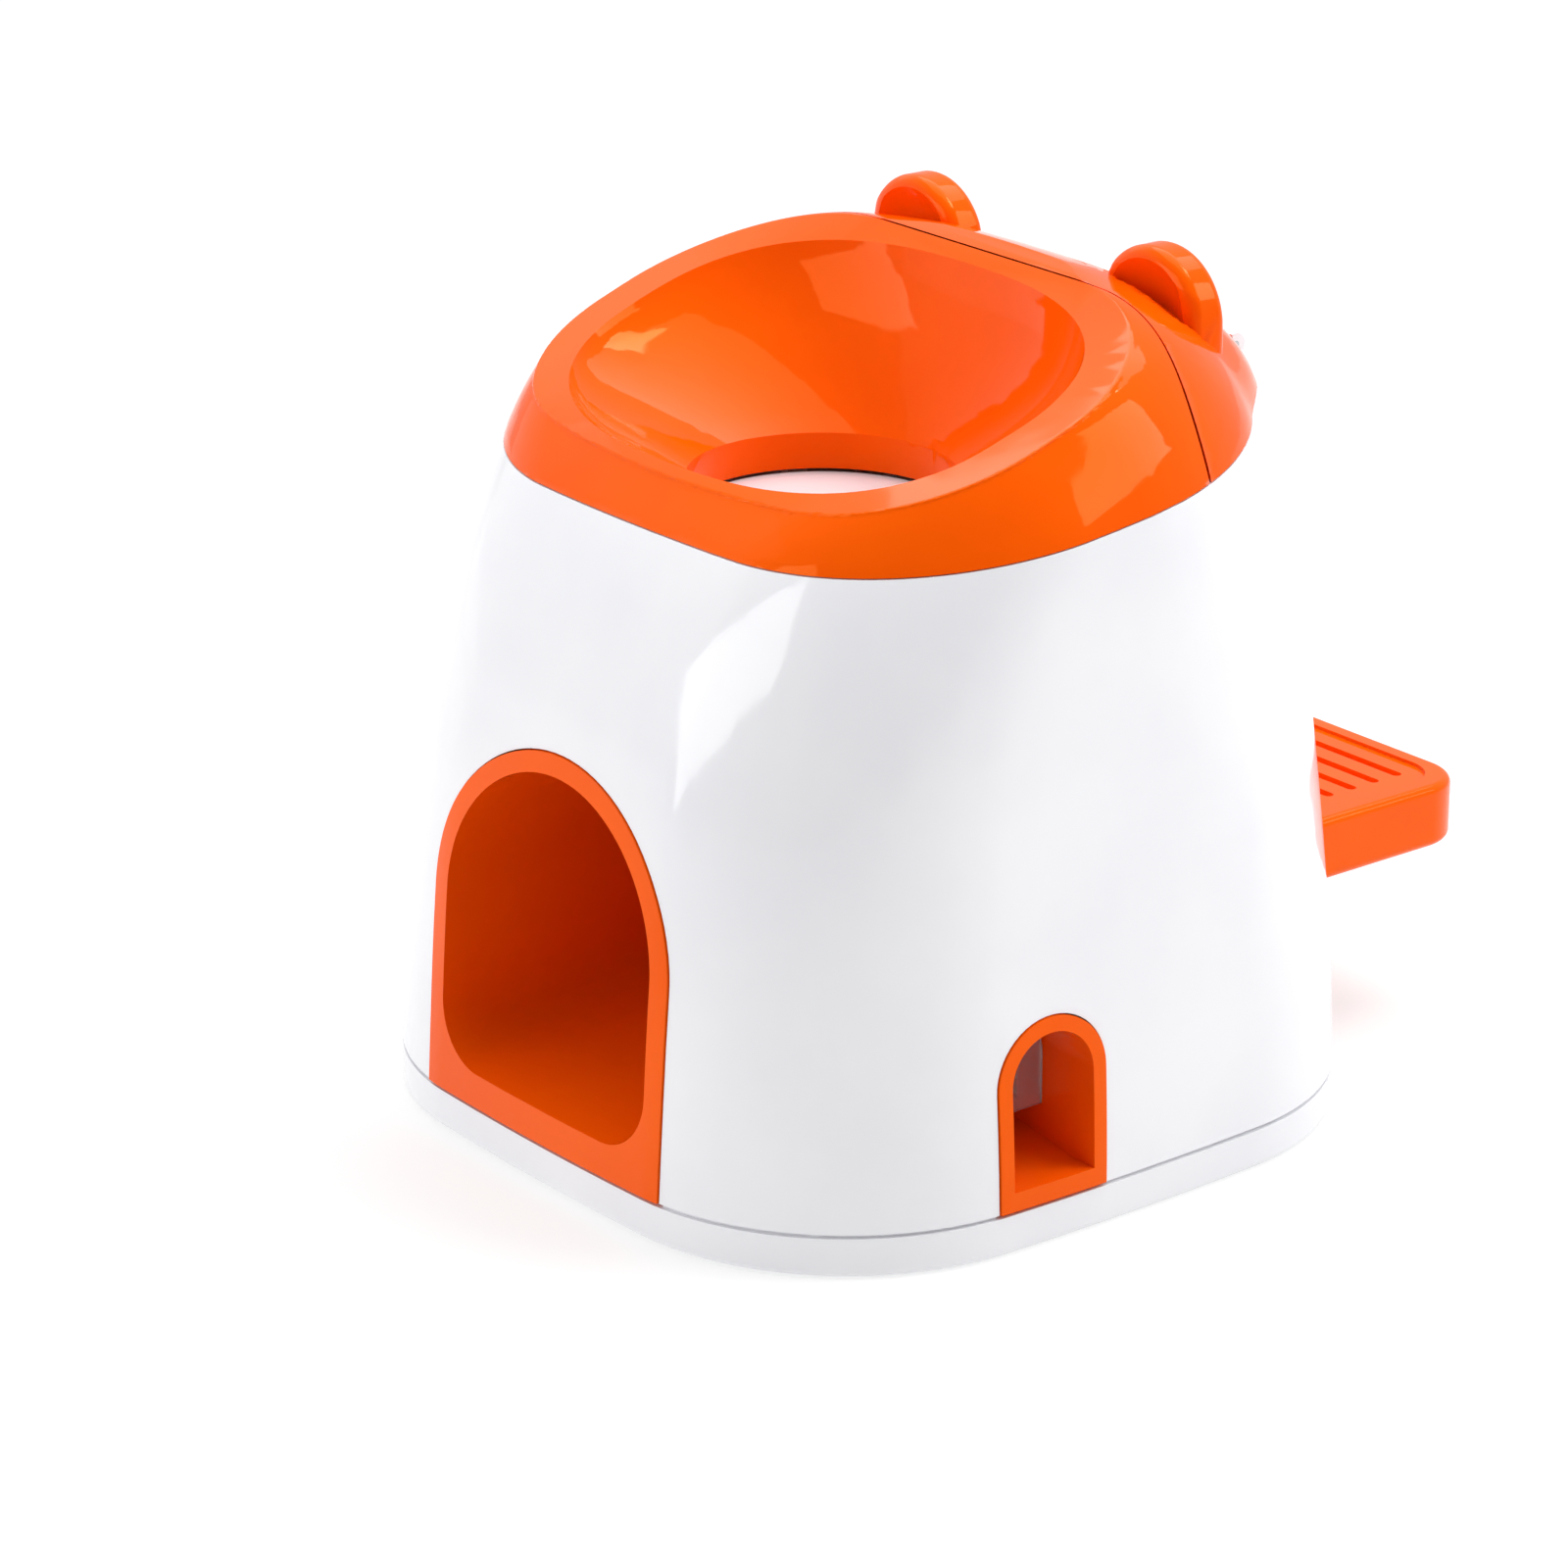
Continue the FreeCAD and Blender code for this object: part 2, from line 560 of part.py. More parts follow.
def foot_prism(inset, low, high):
    outline = bowed_outline(FOOT_HALF_WIDTH - inset, FOOT_FRONT - inset, FOOT_REAR - inset,
                            SIDE_BOW_FOOT - inset, CORNER_FOOT - inset, CORNER_FOOT - inset)
    outline.translate(Vec(0, 0, low))
    return Part.Face(outline).extrude(Vec(0, 0, high - low))


def shell_posts():
    """Four screw posts inside the casing's corners."""
    out = (FOOT_HALF_WIDTH - CORNER_FOOT) + (CORNER_FOOT - POST_INSET) * math.sqrt(0.5)
    return [(side * out, end * out) for side in (1, -1) for end in (1, -1)]


def pad_places():
    return [(side * PAD_PLACE, end * PAD_PLACE) for side in (1, -1) for end in (1, -1)]


def plate_screw_places():
    middle = PLATE_X - FLANGE / 2
    places = [(side * middle, y) for side in (1, -1) for y in FLANGE_SCREW_Y]
    return places + [(CHEEK_X + PLATE_THICK + FLANGE / 2, WHEEL_Y)]


def body_shell():
    outer = body_solid(0, 0, 1 - seam_gap_level())
    inner = body_solid(SHELL_WALL, -0.05, 1.05)
    posts = [cyl("z", place, POST_R, SEAT_Z, POST_TOP_Z) for place in shell_posts()]
    posts = [post.common(body_solid(SHELL_WALL / 2, -0.05, 0.6)) for post in posts]
    shell = fuse([outer.cut(inner)] + posts + shell_knuckles())
    shell = shell.cut(box(-FAR, FAR, -FAR, FAR, -1, SEAT_Z))
    half = PEDAL_HALF_WIDTH + SLOT_GAP
    low = PEDAL_TOP_Z - PEDAL_THICK - SLOT_DROP
    tools = [front_arch(LINER_GAP, 0, 0, -FAR, Vec(0, FAR - FRONT_CUT_Y, 0)),
             side_arch(LINER_GAP, 0, SPOUT_END_X, FAR),
             box(-half, half, PEDAL_PAD_Y - SLOT_GAP, FAR, low, PEDAL_TOP_Z + SLOT_GAP),
             cyl("x", hinge_axis(), HINGE_PIN_R, -HINGE_HALF - 20, HINGE_HALF + 20),
             cyl("x", hinge_axis(), HINGE_R + FIT_GAP, -HINGE_HALF, HINGE_HALF)]
    tools += [cyl("z", place, SCREW_R, SEAT_Z - 1, POST_TOP_Z - 3) for place in shell_posts()]
    return largest(drilled(shell, tools))


def hinge_axis():
    """Y and Z of the lid's hinge pin, just outside the top of the rear wall."""
    rear = FOOT_REAR - REAR_CROWN
    return rear + LID_HINGE_OUT, SEAM_Z + SEAM_SLOPE * rear + LID_HINGE_Z_UP


def knuckle(x0, x1, inward):
    """Hinge barrel with a web that reaches the wall by inward."""
    y, z = hinge_axis()
    barrel = cyl("x", (y, z), HINGE_R, x0, x1)
    web = prism([(y, z - HINGE_R), (y, z), (y - inward, z - 2), (y - inward, z - KNUCKLE_FALL)], "x", x0, x1)
    return barrel.fuse(web)


def shell_knuckles():
    found = []
    for side in (1, -1):
        start = side * HINGE_HALF
        ends = sorted((start, start + side * HINGE_KNUCKLE))
        piece = knuckle(ends[0], ends[1], LID_HINGE_OUT + 1.5)
        y, z = hinge_axis()
        low = SEAM_Z + SEAM_SLOPE * (y - LID_HINGE_OUT) - SEAM_GAP
        inside = box(-FAR, FAR, y - FAR, y - LID_HINGE_OUT + 0.2, low, FAR)
        found.append(piece.cut(inside))
    return found


def front_tunnel():
    proud = body_solid(-LINER_PROUD, -0.02, 1)
    length = TUNNEL_REAR_Y + FOOT_FRONT
    run = Vec(0, length, length * math.tan(math.radians(TUNNEL_SLOPE)))
    straight = front_arch(0, SEAT_Z, 0, -FOOT_FRONT - 10, Vec(0, 10 + TUNNEL_FRAME_DEPTH, 0)).common(proud)
    bottom = ARCH_SILL_Z - LINER_WALL
    tube = front_arch(LINER_WALL - ARCH_BAND, bottom, ARCH_CORNER + LINER_WALL, -FOOT_FRONT, run)
    tube = tube.common(box(-FAR, FAR, TUNNEL_FRAME_DEPTH / 2 - FOOT_FRONT, FAR, 0, FAR))
    fins = [box(side * FIN_X - 1, side * FIN_X + 1, FIN_Y0, FIN_Y1, FOOT_FLOOR, ARCH_SILL_Z + 6)
            for side in (1, -1)]
    whole = fuse([straight, tube] + fins)
    inward = -ARCH_BAND
    bore = front_arch(inward, ARCH_SILL_Z, ARCH_CORNER, -FOOT_FRONT, run)
    mouth = front_arch(inward, ARCH_SILL_Z, ARCH_CORNER, -FAR, Vec(0, FAR - FOOT_FRONT + 0.5, 0))
    keep = box(-FAR, FAR, -FAR, TUNNEL_REAR_Y - LINER_WALL, 0, FAR)
    drop = box(-DROP_HALF_WIDTH, DROP_HALF_WIDTH, TUNNEL_ROOF_END_Y, TUNNEL_REAR_Y - LINER_WALL,
               ARCH_CENTRE_Z, FAR)
    return largest(drilled(whole, [bore.common(keep), mouth, drop]))


def treat_spout():
    proud = body_solid(-LINER_PROUD, -0.02, 1)
    frame_x = FOOT_HALF_WIDTH - SPOUT_FRAME_DEPTH
    frame = side_arch(0, SEAT_Z, frame_x, 2 * FOOT_HALF_WIDTH).common(proud)
    tube = side_arch(SPOUT_WALL - SPOUT_BAND, SPOUT_FLOOR_Z - SPOUT_WALL, SPOUT_END_X, frame_x + 1)
    bore = side_arch(-SPOUT_BAND, SPOUT_FLOOR_Z, SPOUT_END_X + SPOUT_WALL, 2 * FOOT_HALF_WIDTH)
    low, high = SPOUT_Y - SPOUT_INNER - 0.5, SPOUT_Y + SPOUT_INNER + 0.5
    ramp = prism([(SPOUT_END_X, SPOUT_FLOOR_Z - 0.5), (frame_x + 4, SPOUT_FLOOR_Z - 0.5),
                  (frame_x + 4, SPOUT_FLOOR_Z), (SPOUT_END_X, SPOUT_FLOOR_Z + SPOUT_FALL)], "y", low, high)
    leg = box(SPOUT_END_X, SPOUT_END_X + 3, low + 4, high - 4, FOOT_FLOOR, SPOUT_FLOOR_Z)
    spout = fuse([fuse([frame, tube]).cut(bore), ramp, leg])
    window = box(SPOUT_END_X + SPOUT_WALL, CHUTE_X1 + FIT_GAP, SPOUT_Y + 5, SPOUT_Y + SPOUT_HALF + 5,
                 CHUTE_END_Z, CHUTE_END_Z + CHUTE_HEIGHT + FIT_GAP)
    pin = cyl("y", (FLAP_X, FLAP_HINGE_Z), FLAP_PIN_R, SPOUT_Y - SPOUT_HALF, SPOUT_Y + SPOUT_HALF)
    return largest(drilled(spout, [window, pin]))


def funnel_cap():
    crown = crown_solid(0)
    seat = body_solid(SPIGOT_INSET, 0.955, 1.0).cut(body_solid(SPIGOT_INSET + SPIGOT_WALL, 0.9, 1.05))
    seat = seat.common(ahead_of_parting(-SPIGOT_END))
    shell = crown.cut(crown_solid(SHELL_WALL)).common(ahead_of_parting(0))
    flange = crown.common(body_solid(0, 0.95, 1 + FLANGE_LEVEL)).cut(
        body_solid(SPIGOT_INSET + SPIGOT_WALL, 0.9, 1.05)).common(ahead_of_parting(-SPIGOT_END))
    bowl = bowl_solid(BOWL_WALL, 0)
    ledge = crown_solid(SHELL_WALL - 0.2).cut(crown_solid(SHELL_WALL + LEDGE))
    ledge = ledge.common(ahead_of_parting(0)).cut(ahead_of_parting(-LEDGE_BACK))
    shelf = crown_solid(SHELL_WALL + FIT_GAP).cut(crown_solid(SHELL_WALL + LEDGE))
    shelf = shelf.common(ahead_of_parting(LEDGE_AHEAD)).cut(ahead_of_parting(-0.5))
    cap = fuse([shell, flange, seat, bowl, ledge, shelf])
    opening = Part.Face(bowl_ring(0, 0, 0)).extrude(Vec(0, 0, 10))
    return largest(cap.cut(opening).cut(bowl_solid(0, 0)))


def ear(side):
    middle_z = EAR_TOP_Z - EAR_R
    disc = cyl("y", (side * EAR_X, middle_z), EAR_R, EAR_Y - EAR_THICK / 2, EAR_Y + EAR_THICK / 2)
    disc = disc.makeFillet(EAR_ROUND, [edge for edge in disc.Edges if edge.Length > EAR_R * 3])
    away = EAR_Y - EAR_THICK / 2 - EAR_SCOOP_R + EAR_SCOOP_DEPTH
    return disc.cut(Part.makeSphere(EAR_SCOOP_R, Vec(side * EAR_X, away, middle_z)))


def rear_lid():
    wall = crown_solid(0).cut(crown_solid(SHELL_WALL)).cut(ahead_of_parting(SEAM_GAP, LID_SWING_GAP))
    ears = [ear(side).cut(crown_solid(SHELL_WALL / 2)) for side in (1, -1)]
    y, z = hinge_axis()
    web = prism([(y - LID_HINGE_OUT - 1.5, z - 1.0), (y, z - 1.0), (y, z + HINGE_R),
                 (y - 6, z + HINGE_R + 3)], "x", -HINGE_HALF + FIT_GAP, HINGE_HALF - FIT_GAP)
    lid = fuse([wall] + ears + [cyl("x", (y, z), HINGE_R, -HINGE_HALF + FIT_GAP, HINGE_HALF - FIT_GAP), web])
    bore = cyl("x", (y, z), HINGE_PIN_R + SHAFT_GAP, -HINGE_HALF, HINGE_HALF)
    notches = []
    for side in (1, -1):
        x0, x1 = sorted((side * (HINGE_HALF - FIT_GAP), side * (HINGE_HALF + HINGE_KNUCKLE + FIT_GAP)))
        notches.append(box(x0, x1, y - 2 * HINGE_R, y + 2 * HINGE_R, 0, z + HINGE_R + FIT_GAP))
    return largest(drilled(lid, [bore] + notches))


# ---------------------------------------------------------------- treat path
def treat_hopper():
    left, right = -HOPPER_HALF, CHEEK_X - FIT_GAP
    neck0 = PLATE_X + PLATE_THICK + FIT_GAP
    top = SEAM_Z + 40

    def profile(wall):
        """Mouth to sloping floor, down the neck beside the plate, and up the right wall's slope."""
        floor_right = HOPPER_RIGHT_Z + wall
        return [(left + wall, top), (left + wall, HOPPER_LEFT_Z + wall), (neck0 + wall, floor_right),
                (neck0 + wall, WHEEL_Z), (right - wall, WHEEL_Z),
                (right - wall, HOPPER_RIGHT_Z - HOPPER_SLOPE_END), (HOPPER_HALF - wall, floor_right),
                (HOPPER_HALF - wall, top)]

    outer = prism(profile(0), "y", HOPPER_Y, FOOT_REAR)
    outer = outer.common(body_solid(HOPPER_INSET, HOPPER_LOW_LEVEL, HOPPER_TOP_LEVEL))
    inner = prism(profile(HOPPER_WALL), "y", HOPPER_Y + HOPPER_WALL, FOOT_REAR)
    inner = inner.common(body_solid(HOPPER_INSET + HOPPER_WALL, HOPPER_LOW_LEVEL, HOPPER_TOP_LEVEL + 0.03))
    neck_y0, neck_y1 = WHEEL_Y - NECK_HALF, WHEEL_Y + NECK_HALF
    above = box(-FAR, FAR, 0, FAR, HOPPER_RIGHT_Z - HOPPER_SLOPE_END - 2, FAR)
    throat = box(-FAR, FAR, neck_y0, neck_y1, WHEEL_Z - 5, FAR)
    inner = fuse([inner.common(above), inner.common(throat)])
    guard = box(-FAR, FAR, WHEEL_Y - WHEEL_R - GUARD, WHEEL_Y + WHEEL_R + GUARD, WHEEL_Z, FAR)
    outer = outer.common(fuse([above, guard]))
    outer = fuse([outer, box(neck0, right, WHEEL_Y - WHEEL_R - GUARD, WHEEL_Y + WHEEL_R + GUARD, WHEEL_Z,
                             HOPPER_RIGHT_Z - HOPPER_SLOPE_END)])
    drum = cyl("x", (WHEEL_Y, WHEEL_Z), WHEEL_R + FIT_GAP, neck0 - 1, right + 1)
    return largest(drilled(outer, [inner, drum]))


def lid_seal():
    """Soft strip on the hopper's mouth."""
    low = body_solid(HOPPER_INSET, HOPPER_TOP_LEVEL, HOPPER_TOP_LEVEL + SEAL_LEVEL, 2)
    hole = body_solid(HOPPER_INSET + HOPPER_WALL, HOPPER_TOP_LEVEL - SEAL_LEVEL,
                      HOPPER_TOP_LEVEL + 2 * SEAL_LEVEL, 2)
    bar = box(-HOPPER_HALF, HOPPER_HALF, HOPPER_Y, FOOT_REAR, 0, FAR)
    gap = box(-HOPPER_HALF + HOPPER_WALL, HOPPER_HALF - HOPPER_WALL, HOPPER_Y + HOPPER_WALL, FOOT_REAR,
              0, FAR)
    return largest(low.common(bar).cut(hole.common(gap)))


def treat_wheel():
    wheel = cyl("x", (WHEEL_Y, WHEEL_Z), WHEEL_R, WHEEL_X0, WHEEL_X1)
    hub = cyl("x", (WHEEL_Y, WHEEL_Z), SHAFT_R, WHEEL_X0 - 1, WHEEL_X1 + 1)
    pockets = []
    for step in range(WHEEL_POCKETS):
        angle = math.radians(90 + 360 * step / WHEEL_POCKETS)
        reach = WHEEL_R - POCKET_R / 2
        place = (WHEEL_Y + reach * math.cos(angle), WHEEL_Z + reach * math.sin(angle))
        pockets.append(cyl("x", place, POCKET_R, WHEEL_X0 + POCKET_FLANGE, WHEEL_X1 - POCKET_FLANGE))
    return drilled(wheel, pockets + [hub])


def treat_chute():
    fall = (CHUTE_START_Z - CHUTE_END_Z) / (CHUTE_START_Y - CHUTE_END_Y)

    def slab(low, high, y0, y1, x0, x1):
        z0 = CHUTE_END_Z + fall * (y0 - CHUTE_END_Y)
        z1 = CHUTE_END_Z + fall * (y1 - CHUTE_END_Y)
        return prism([(y0, z0 + low), (y1, z1 + low), (y1, z1 + high), (y0, z0 + high)], "x", x0, x1)

    trough = slab(-CHUTE_WALL, CHUTE_HEIGHT, CHUTE_END_Y, CHUTE_START_Y, CHUTE_X0, CHUTE_X1)
    trough = trough.cut(slab(0, 2 * CHUTE_HEIGHT, CHUTE_END_Y - 1, CHUTE_START_Y - CHUTE_WALL,
                             CHUTE_X0 + CHUTE_WALL, CHUTE_X1 - CHUTE_WALL))
    middle = (CHUTE_X0 + CHUTE_X1) / 2
    legs = []
    for y in CHUTE_LEG_Y:
        leg = box(middle - 4, middle + 4, y - 1, y + 1, FOOT_FLOOR, CHUTE_START_Z)
        legs.append(leg.cut(slab(-CHUTE_WALL / 2, FAR, CHUTE_END_Y - 1, CHUTE_START_Y + 9, 0, FAR)))
    return fuse([trough] + legs)


def treat_flap():
    outline = arch_face(SPOUT_INNER - FIT_GAP, SPOUT_CENTRE_Z - FLAP_SHOULDER, SPOUT_INNER, FLAP_BOTTOM_Z, 0,
                        lambda across, up: Vec(FLAP_X - FLAP_THICK / 2, SPOUT_Y + across, up))
    plate = outline.extrude(Vec(FLAP_THICK, 0, 0))
    reach = math.sqrt(SPOUT_INNER ** 2 - (FLAP_HINGE_Z + FLAP_HUB_R - SPOUT_CENTRE_Z) ** 2) - 2 * FIT_GAP
    hub = cyl("y", (FLAP_X, FLAP_HINGE_Z), FLAP_HUB_R, SPOUT_Y - reach, SPOUT_Y + reach)
    plate = plate.common(box(0, FAR, -FAR, FAR, 0, FLAP_HINGE_Z + FLAP_HUB_R))
    bore = cyl("y", (FLAP_X, FLAP_HINGE_Z), FLAP_PIN_R + SHAFT_GAP, SPOUT_Y - 50, SPOUT_Y + 50)
    return largest(plate.fuse(hub).cut(bore))


def flap_pin():
    outer = SPOUT_INNER + SPOUT_WALL
    reach = math.sqrt(outer ** 2 - (FLAP_HINGE_Z - SPOUT_CENTRE_Z) ** 2)
    return cyl("y", (FLAP_X, FLAP_HINGE_Z), FLAP_PIN_R, SPOUT_Y - reach, SPOUT_Y + reach)


# ---------------------------------------------------------------- frame plates
def hopper_underside(x):
    right = PLATE_X + PLATE_THICK + FIT_GAP
    share = (right - x) / (right + HOPPER_HALF)
    return blend(HOPPER_RIGHT_Z, HOPPER_LEFT_Z, share)


def bearing_plate(side):
    top = hopper_underside(side * (PLATE_X + PLATE_THICK if side > 0 else PLATE_X))
    outline = [(PLATE_Y0, FOOT_FLOOR), (PLATE_Y1, FOOT_FLOOR), (PLATE_Y1 - 8, WHEEL_Z + 15),
               (PLATE_Y1 - 12, top), (GATE_HINGE_Y - 10, top), (GATE_HINGE_Y - 10, 120),
               (PLATE_Y0 + 12, 80), (PLATE_Y0, 30)]
    x0, x1 = sorted((side * PLATE_X, side * (PLATE_X + PLATE_THICK)))
    plate = prism(outline, "x", x0, x1)
    x2, x3 = sorted((side * (PLATE_X - FLANGE), side * PLATE_X))
    foot = box(x2, x3, FLANGE_Y0, FLANGE_Y1, FOOT_FLOOR, FOOT_FLOOR + PLATE_THICK)
    places = [((PEDAL_HINGE_Y, PEDAL_HINGE_Z), SHAFT_R), ((GATE_HINGE_Y, GATE_HINGE_Z), SHAFT_R + SHAFT_GAP)]
    if side > 0:
        places += [((WHEEL_Y, WHEEL_Z), SHAFT_R + SHAFT_GAP), ((IDLER_Y, IDLER_Z), IDLER_PIN_R)]
    holes = [cyl("x", place, radius, x0 - 1, x1 + 1) for place, radius in places]
    windows = [cyl("x", (PLATE_Y0 + 22, WINDOW_Z), WINDOW_R, x0 - 1, x1 + 1),
               cyl("x", (PLATE_Y1 - 16, WINDOW_Z), WINDOW_R - 2, x0 - 1, x1 + 1)]
    screws = [cyl("z", place, SCREW_R + 0.2, 0, 20) for place in plate_screw_places() if place[0] * side > 0]
    return drilled(plate.fuse(foot), holes + windows + screws)


def outer_cheek():
    outer = CHEEK_X + PLATE_THICK
    plate = box(CHEEK_X, outer, WHEEL_Y - CHEEK_HALF, WHEEL_Y + CHEEK_HALF, FOOT_FLOOR, WHEEL_Z + CHEEK_HALF)
    foot = box(outer, outer + FLANGE, WHEEL_Y - CHEEK_HALF, WHEEL_Y + CHEEK_HALF,
               FOOT_FLOOR, FOOT_FLOOR + PLATE_THICK)
    bore = cyl("x", (WHEEL_Y, WHEEL_Z), SHAFT_R + SHAFT_GAP, CHEEK_X - 1, outer + 1)
    screws = [cyl("z", place, SCREW_R + 0.2, 0, FAR) for place in plate_screw_places() if place[0] > CHEEK_X]
    return largest(drilled(plate.fuse(foot), [bore] + screws))


# ---------------------------------------------------------------- gears
def flank_half_angle(teeth, module, radius):
    """Half the angle that a tooth covers at a radius, from the involute of a 20 degree gear."""
    def involute(angle):
        return math.tan(angle) - angle
    pitch = module * teeth / 2
    base = pitch * math.cos(math.radians(20))
    there = involute(math.acos(base / radius)) if radius > base else 0
    play = BACKLASH * module / (2 * pitch)
    return math.pi / (2 * teeth) - play + involute(math.radians(20)) - there


def gear(teeth, module, place, x0, tooth_angle, bore, count=None):
    """Spur gear with its axis along X; one tooth points at tooth_angle in the YZ plane."""
    pitch = module * teeth / 2
    root, tip = pitch - 1.0 * module, pitch + 0.75 * module
    radii = [root, max(pitch * math.cos(math.radians(20)), root + 0.1 * module), pitch, tip]
    count = teeth if count is None else count
    first = -(count // 2) if count < teeth else 0
    points = []
    for tooth in range(first, first + count):
        middle = tooth_angle + 2 * math.pi * tooth / teeth
        halves = [flank_half_angle(teeth, module, radius) for radius in radii]
        for radius, half in zip(radii, halves):
            points.append((radius, middle - half))
        for radius, half in zip(radii[::-1], halves[::-1]):
            points.append((radius, middle + half))
    if count < teeth:
        hub = SECTOR_HUB_R
        points += [(hub, points[-1][1] + 0.5), (hub, points[0][1] - 0.5)]
    flat = [(place[0] + radius * math.cos(angle), place[1] + radius * math.sin(angle))
            for radius, angle in points]
    blank = prism(flat, "x", x0, x0 + GEAR_WIDTH)
    if count < teeth:
        blank = blank.fuse(cyl("x", place, SECTOR_HUB_R, x0, x0 + GEAR_WIDTH))
    return blank.cut(cyl("x", place, bore, x0 - 1, x0 + GEAR_WIDTH + 1))


def pedal_sector():
    sector = gear(SECTOR_TEETH, SECTOR_MODULE, (PEDAL_HINGE_Y, PEDAL_HINGE_Z), SECTOR_X, math.pi / 2,
                  SHAFT_R + SHAFT_GAP, SECTOR_COUNT)
    arm = box(SECTOR_X, SECTOR_X + GEAR_WIDTH, PEDAL_HINGE_Y, SECTOR_ARM_Y,
              PEDAL_HINGE_Z - ARM_LOW, PEDAL_HINGE_Z + ARM_LOW)
    arm = arm.cut(cyl("x", (PEDAL_HINGE_Y, PEDAL_HINGE_Z), SHAFT_R + SHAFT_GAP, 0, FAR))
    place = (PEDAL_HINGE_Y, PEDAL_HINGE_Z)
    spacer = cyl("x", place, SPACER_R, SECTOR_X + GEAR_WIDTH, PLATE_X - FIT_GAP)
    spacer = spacer.cut(cyl("x", place, SHAFT_R + SHAFT_GAP, 0, FAR))
    holes = [cyl("x", place, SCREW_R, 0, FAR) for place in sector_screw_places()]
    return drilled(fuse([sector, arm, spacer]), holes)


def sector_screw_places():
    return [(SECTOR_ARM_Y - 5, PEDAL_HINGE_Z), (SECTOR_ARM_Y - 14, PEDAL_HINGE_Z)]


def wheel_pinion():
    half_pitch = math.pi / PINION_TEETH
    return gear(PINION_TEETH, SECTOR_MODULE, (WHEEL_Y, WHEEL_Z), SECTOR_X, -math.pi / 2 + half_pitch, SHAFT_R)


def train_angle():
    """Direction from the wheel's shaft towards the gate's hinge."""
    return math.atan2(GATE_HINGE_Z - WHEEL_Z, GATE_HINGE_Y - WHEEL_Y)


def gate_drive_gear():
    return gear(DRIVE_TEETH, DRIVE_MODULE, (WHEEL_Y, WHEEL_Z), DRIVE_X, train_angle(), SHAFT_R)


def idler_gear():
    back = train_angle() + math.pi + math.pi / IDLER_TEETH
    idler = gear(IDLER_TEETH, DRIVE_MODULE, (IDLER_Y, IDLER_Z), DRIVE_X, back, IDLER_PIN_R + SHAFT_GAP)
    holes = []
    for step in range(IDLER_HOLES):
        angle = 2 * math.pi * step / IDLER_HOLES
        place = (IDLER_Y + IDLER_R * 0.6 * math.cos(angle), IDLER_Z + IDLER_R * 0.6 * math.sin(angle))
        holes.append(cyl("x", place, IDLER_R * 0.2, 0, FAR))
    return drilled(idler, holes)


def gate_gear():
    toward = train_angle() + math.pi
    return gear(DRIVE_TEETH, DRIVE_MODULE, (GATE_HINGE_Y, GATE_HINGE_Z), DRIVE_X, toward, SHAFT_R)


# ---------------------------------------------------------------- moving pieces
def rounded_plan(half, y0, y1, corner):
    """Pedal outline: straight rear corners rounded at the far end."""
    side = corner * (1 - math.sqrt(0.5))
    right = [Vec(half, y1 - corner, 0), Vec(half - side, y1 - side, 0), Vec(half - corner, y1, 0)]
    left = [Vec(-point.x, point.y, 0) for point in right[::-1]]
    near = [Vec(-half, y0, 0), Vec(half, y0, 0)]
    edges = [Part.Arc(*right).toShape(), Part.makeLine(right[-1], left[0]), Part.Arc(*left).toShape(),
             Part.makeLine(left[-1], near[0]), Part.makeLine(near[0], near[1]),
             Part.makeLine(near[1], right[0])]
    return Part.Face(Part.Wire(edges))


def slot_face(half, y, width):
    end = width / 2
    edges = [Part.makeLine(Vec(-half + end, y - end, 0), Vec(half - end, y - end, 0)),
             Part.Arc(Vec(half - end, y - end, 0), Vec(half, y, 0), Vec(half - end, y + end, 0)).toShape(),
             Part.makeLine(Vec(half - end, y + end, 0), Vec(-half + end, y + end, 0)),
             Part.Arc(Vec(-half + end, y + end, 0), Vec(-half, y, 0), Vec(-half + end, y - end, 0)).toShape()]
    return Part.Face(Part.Wire(edges))


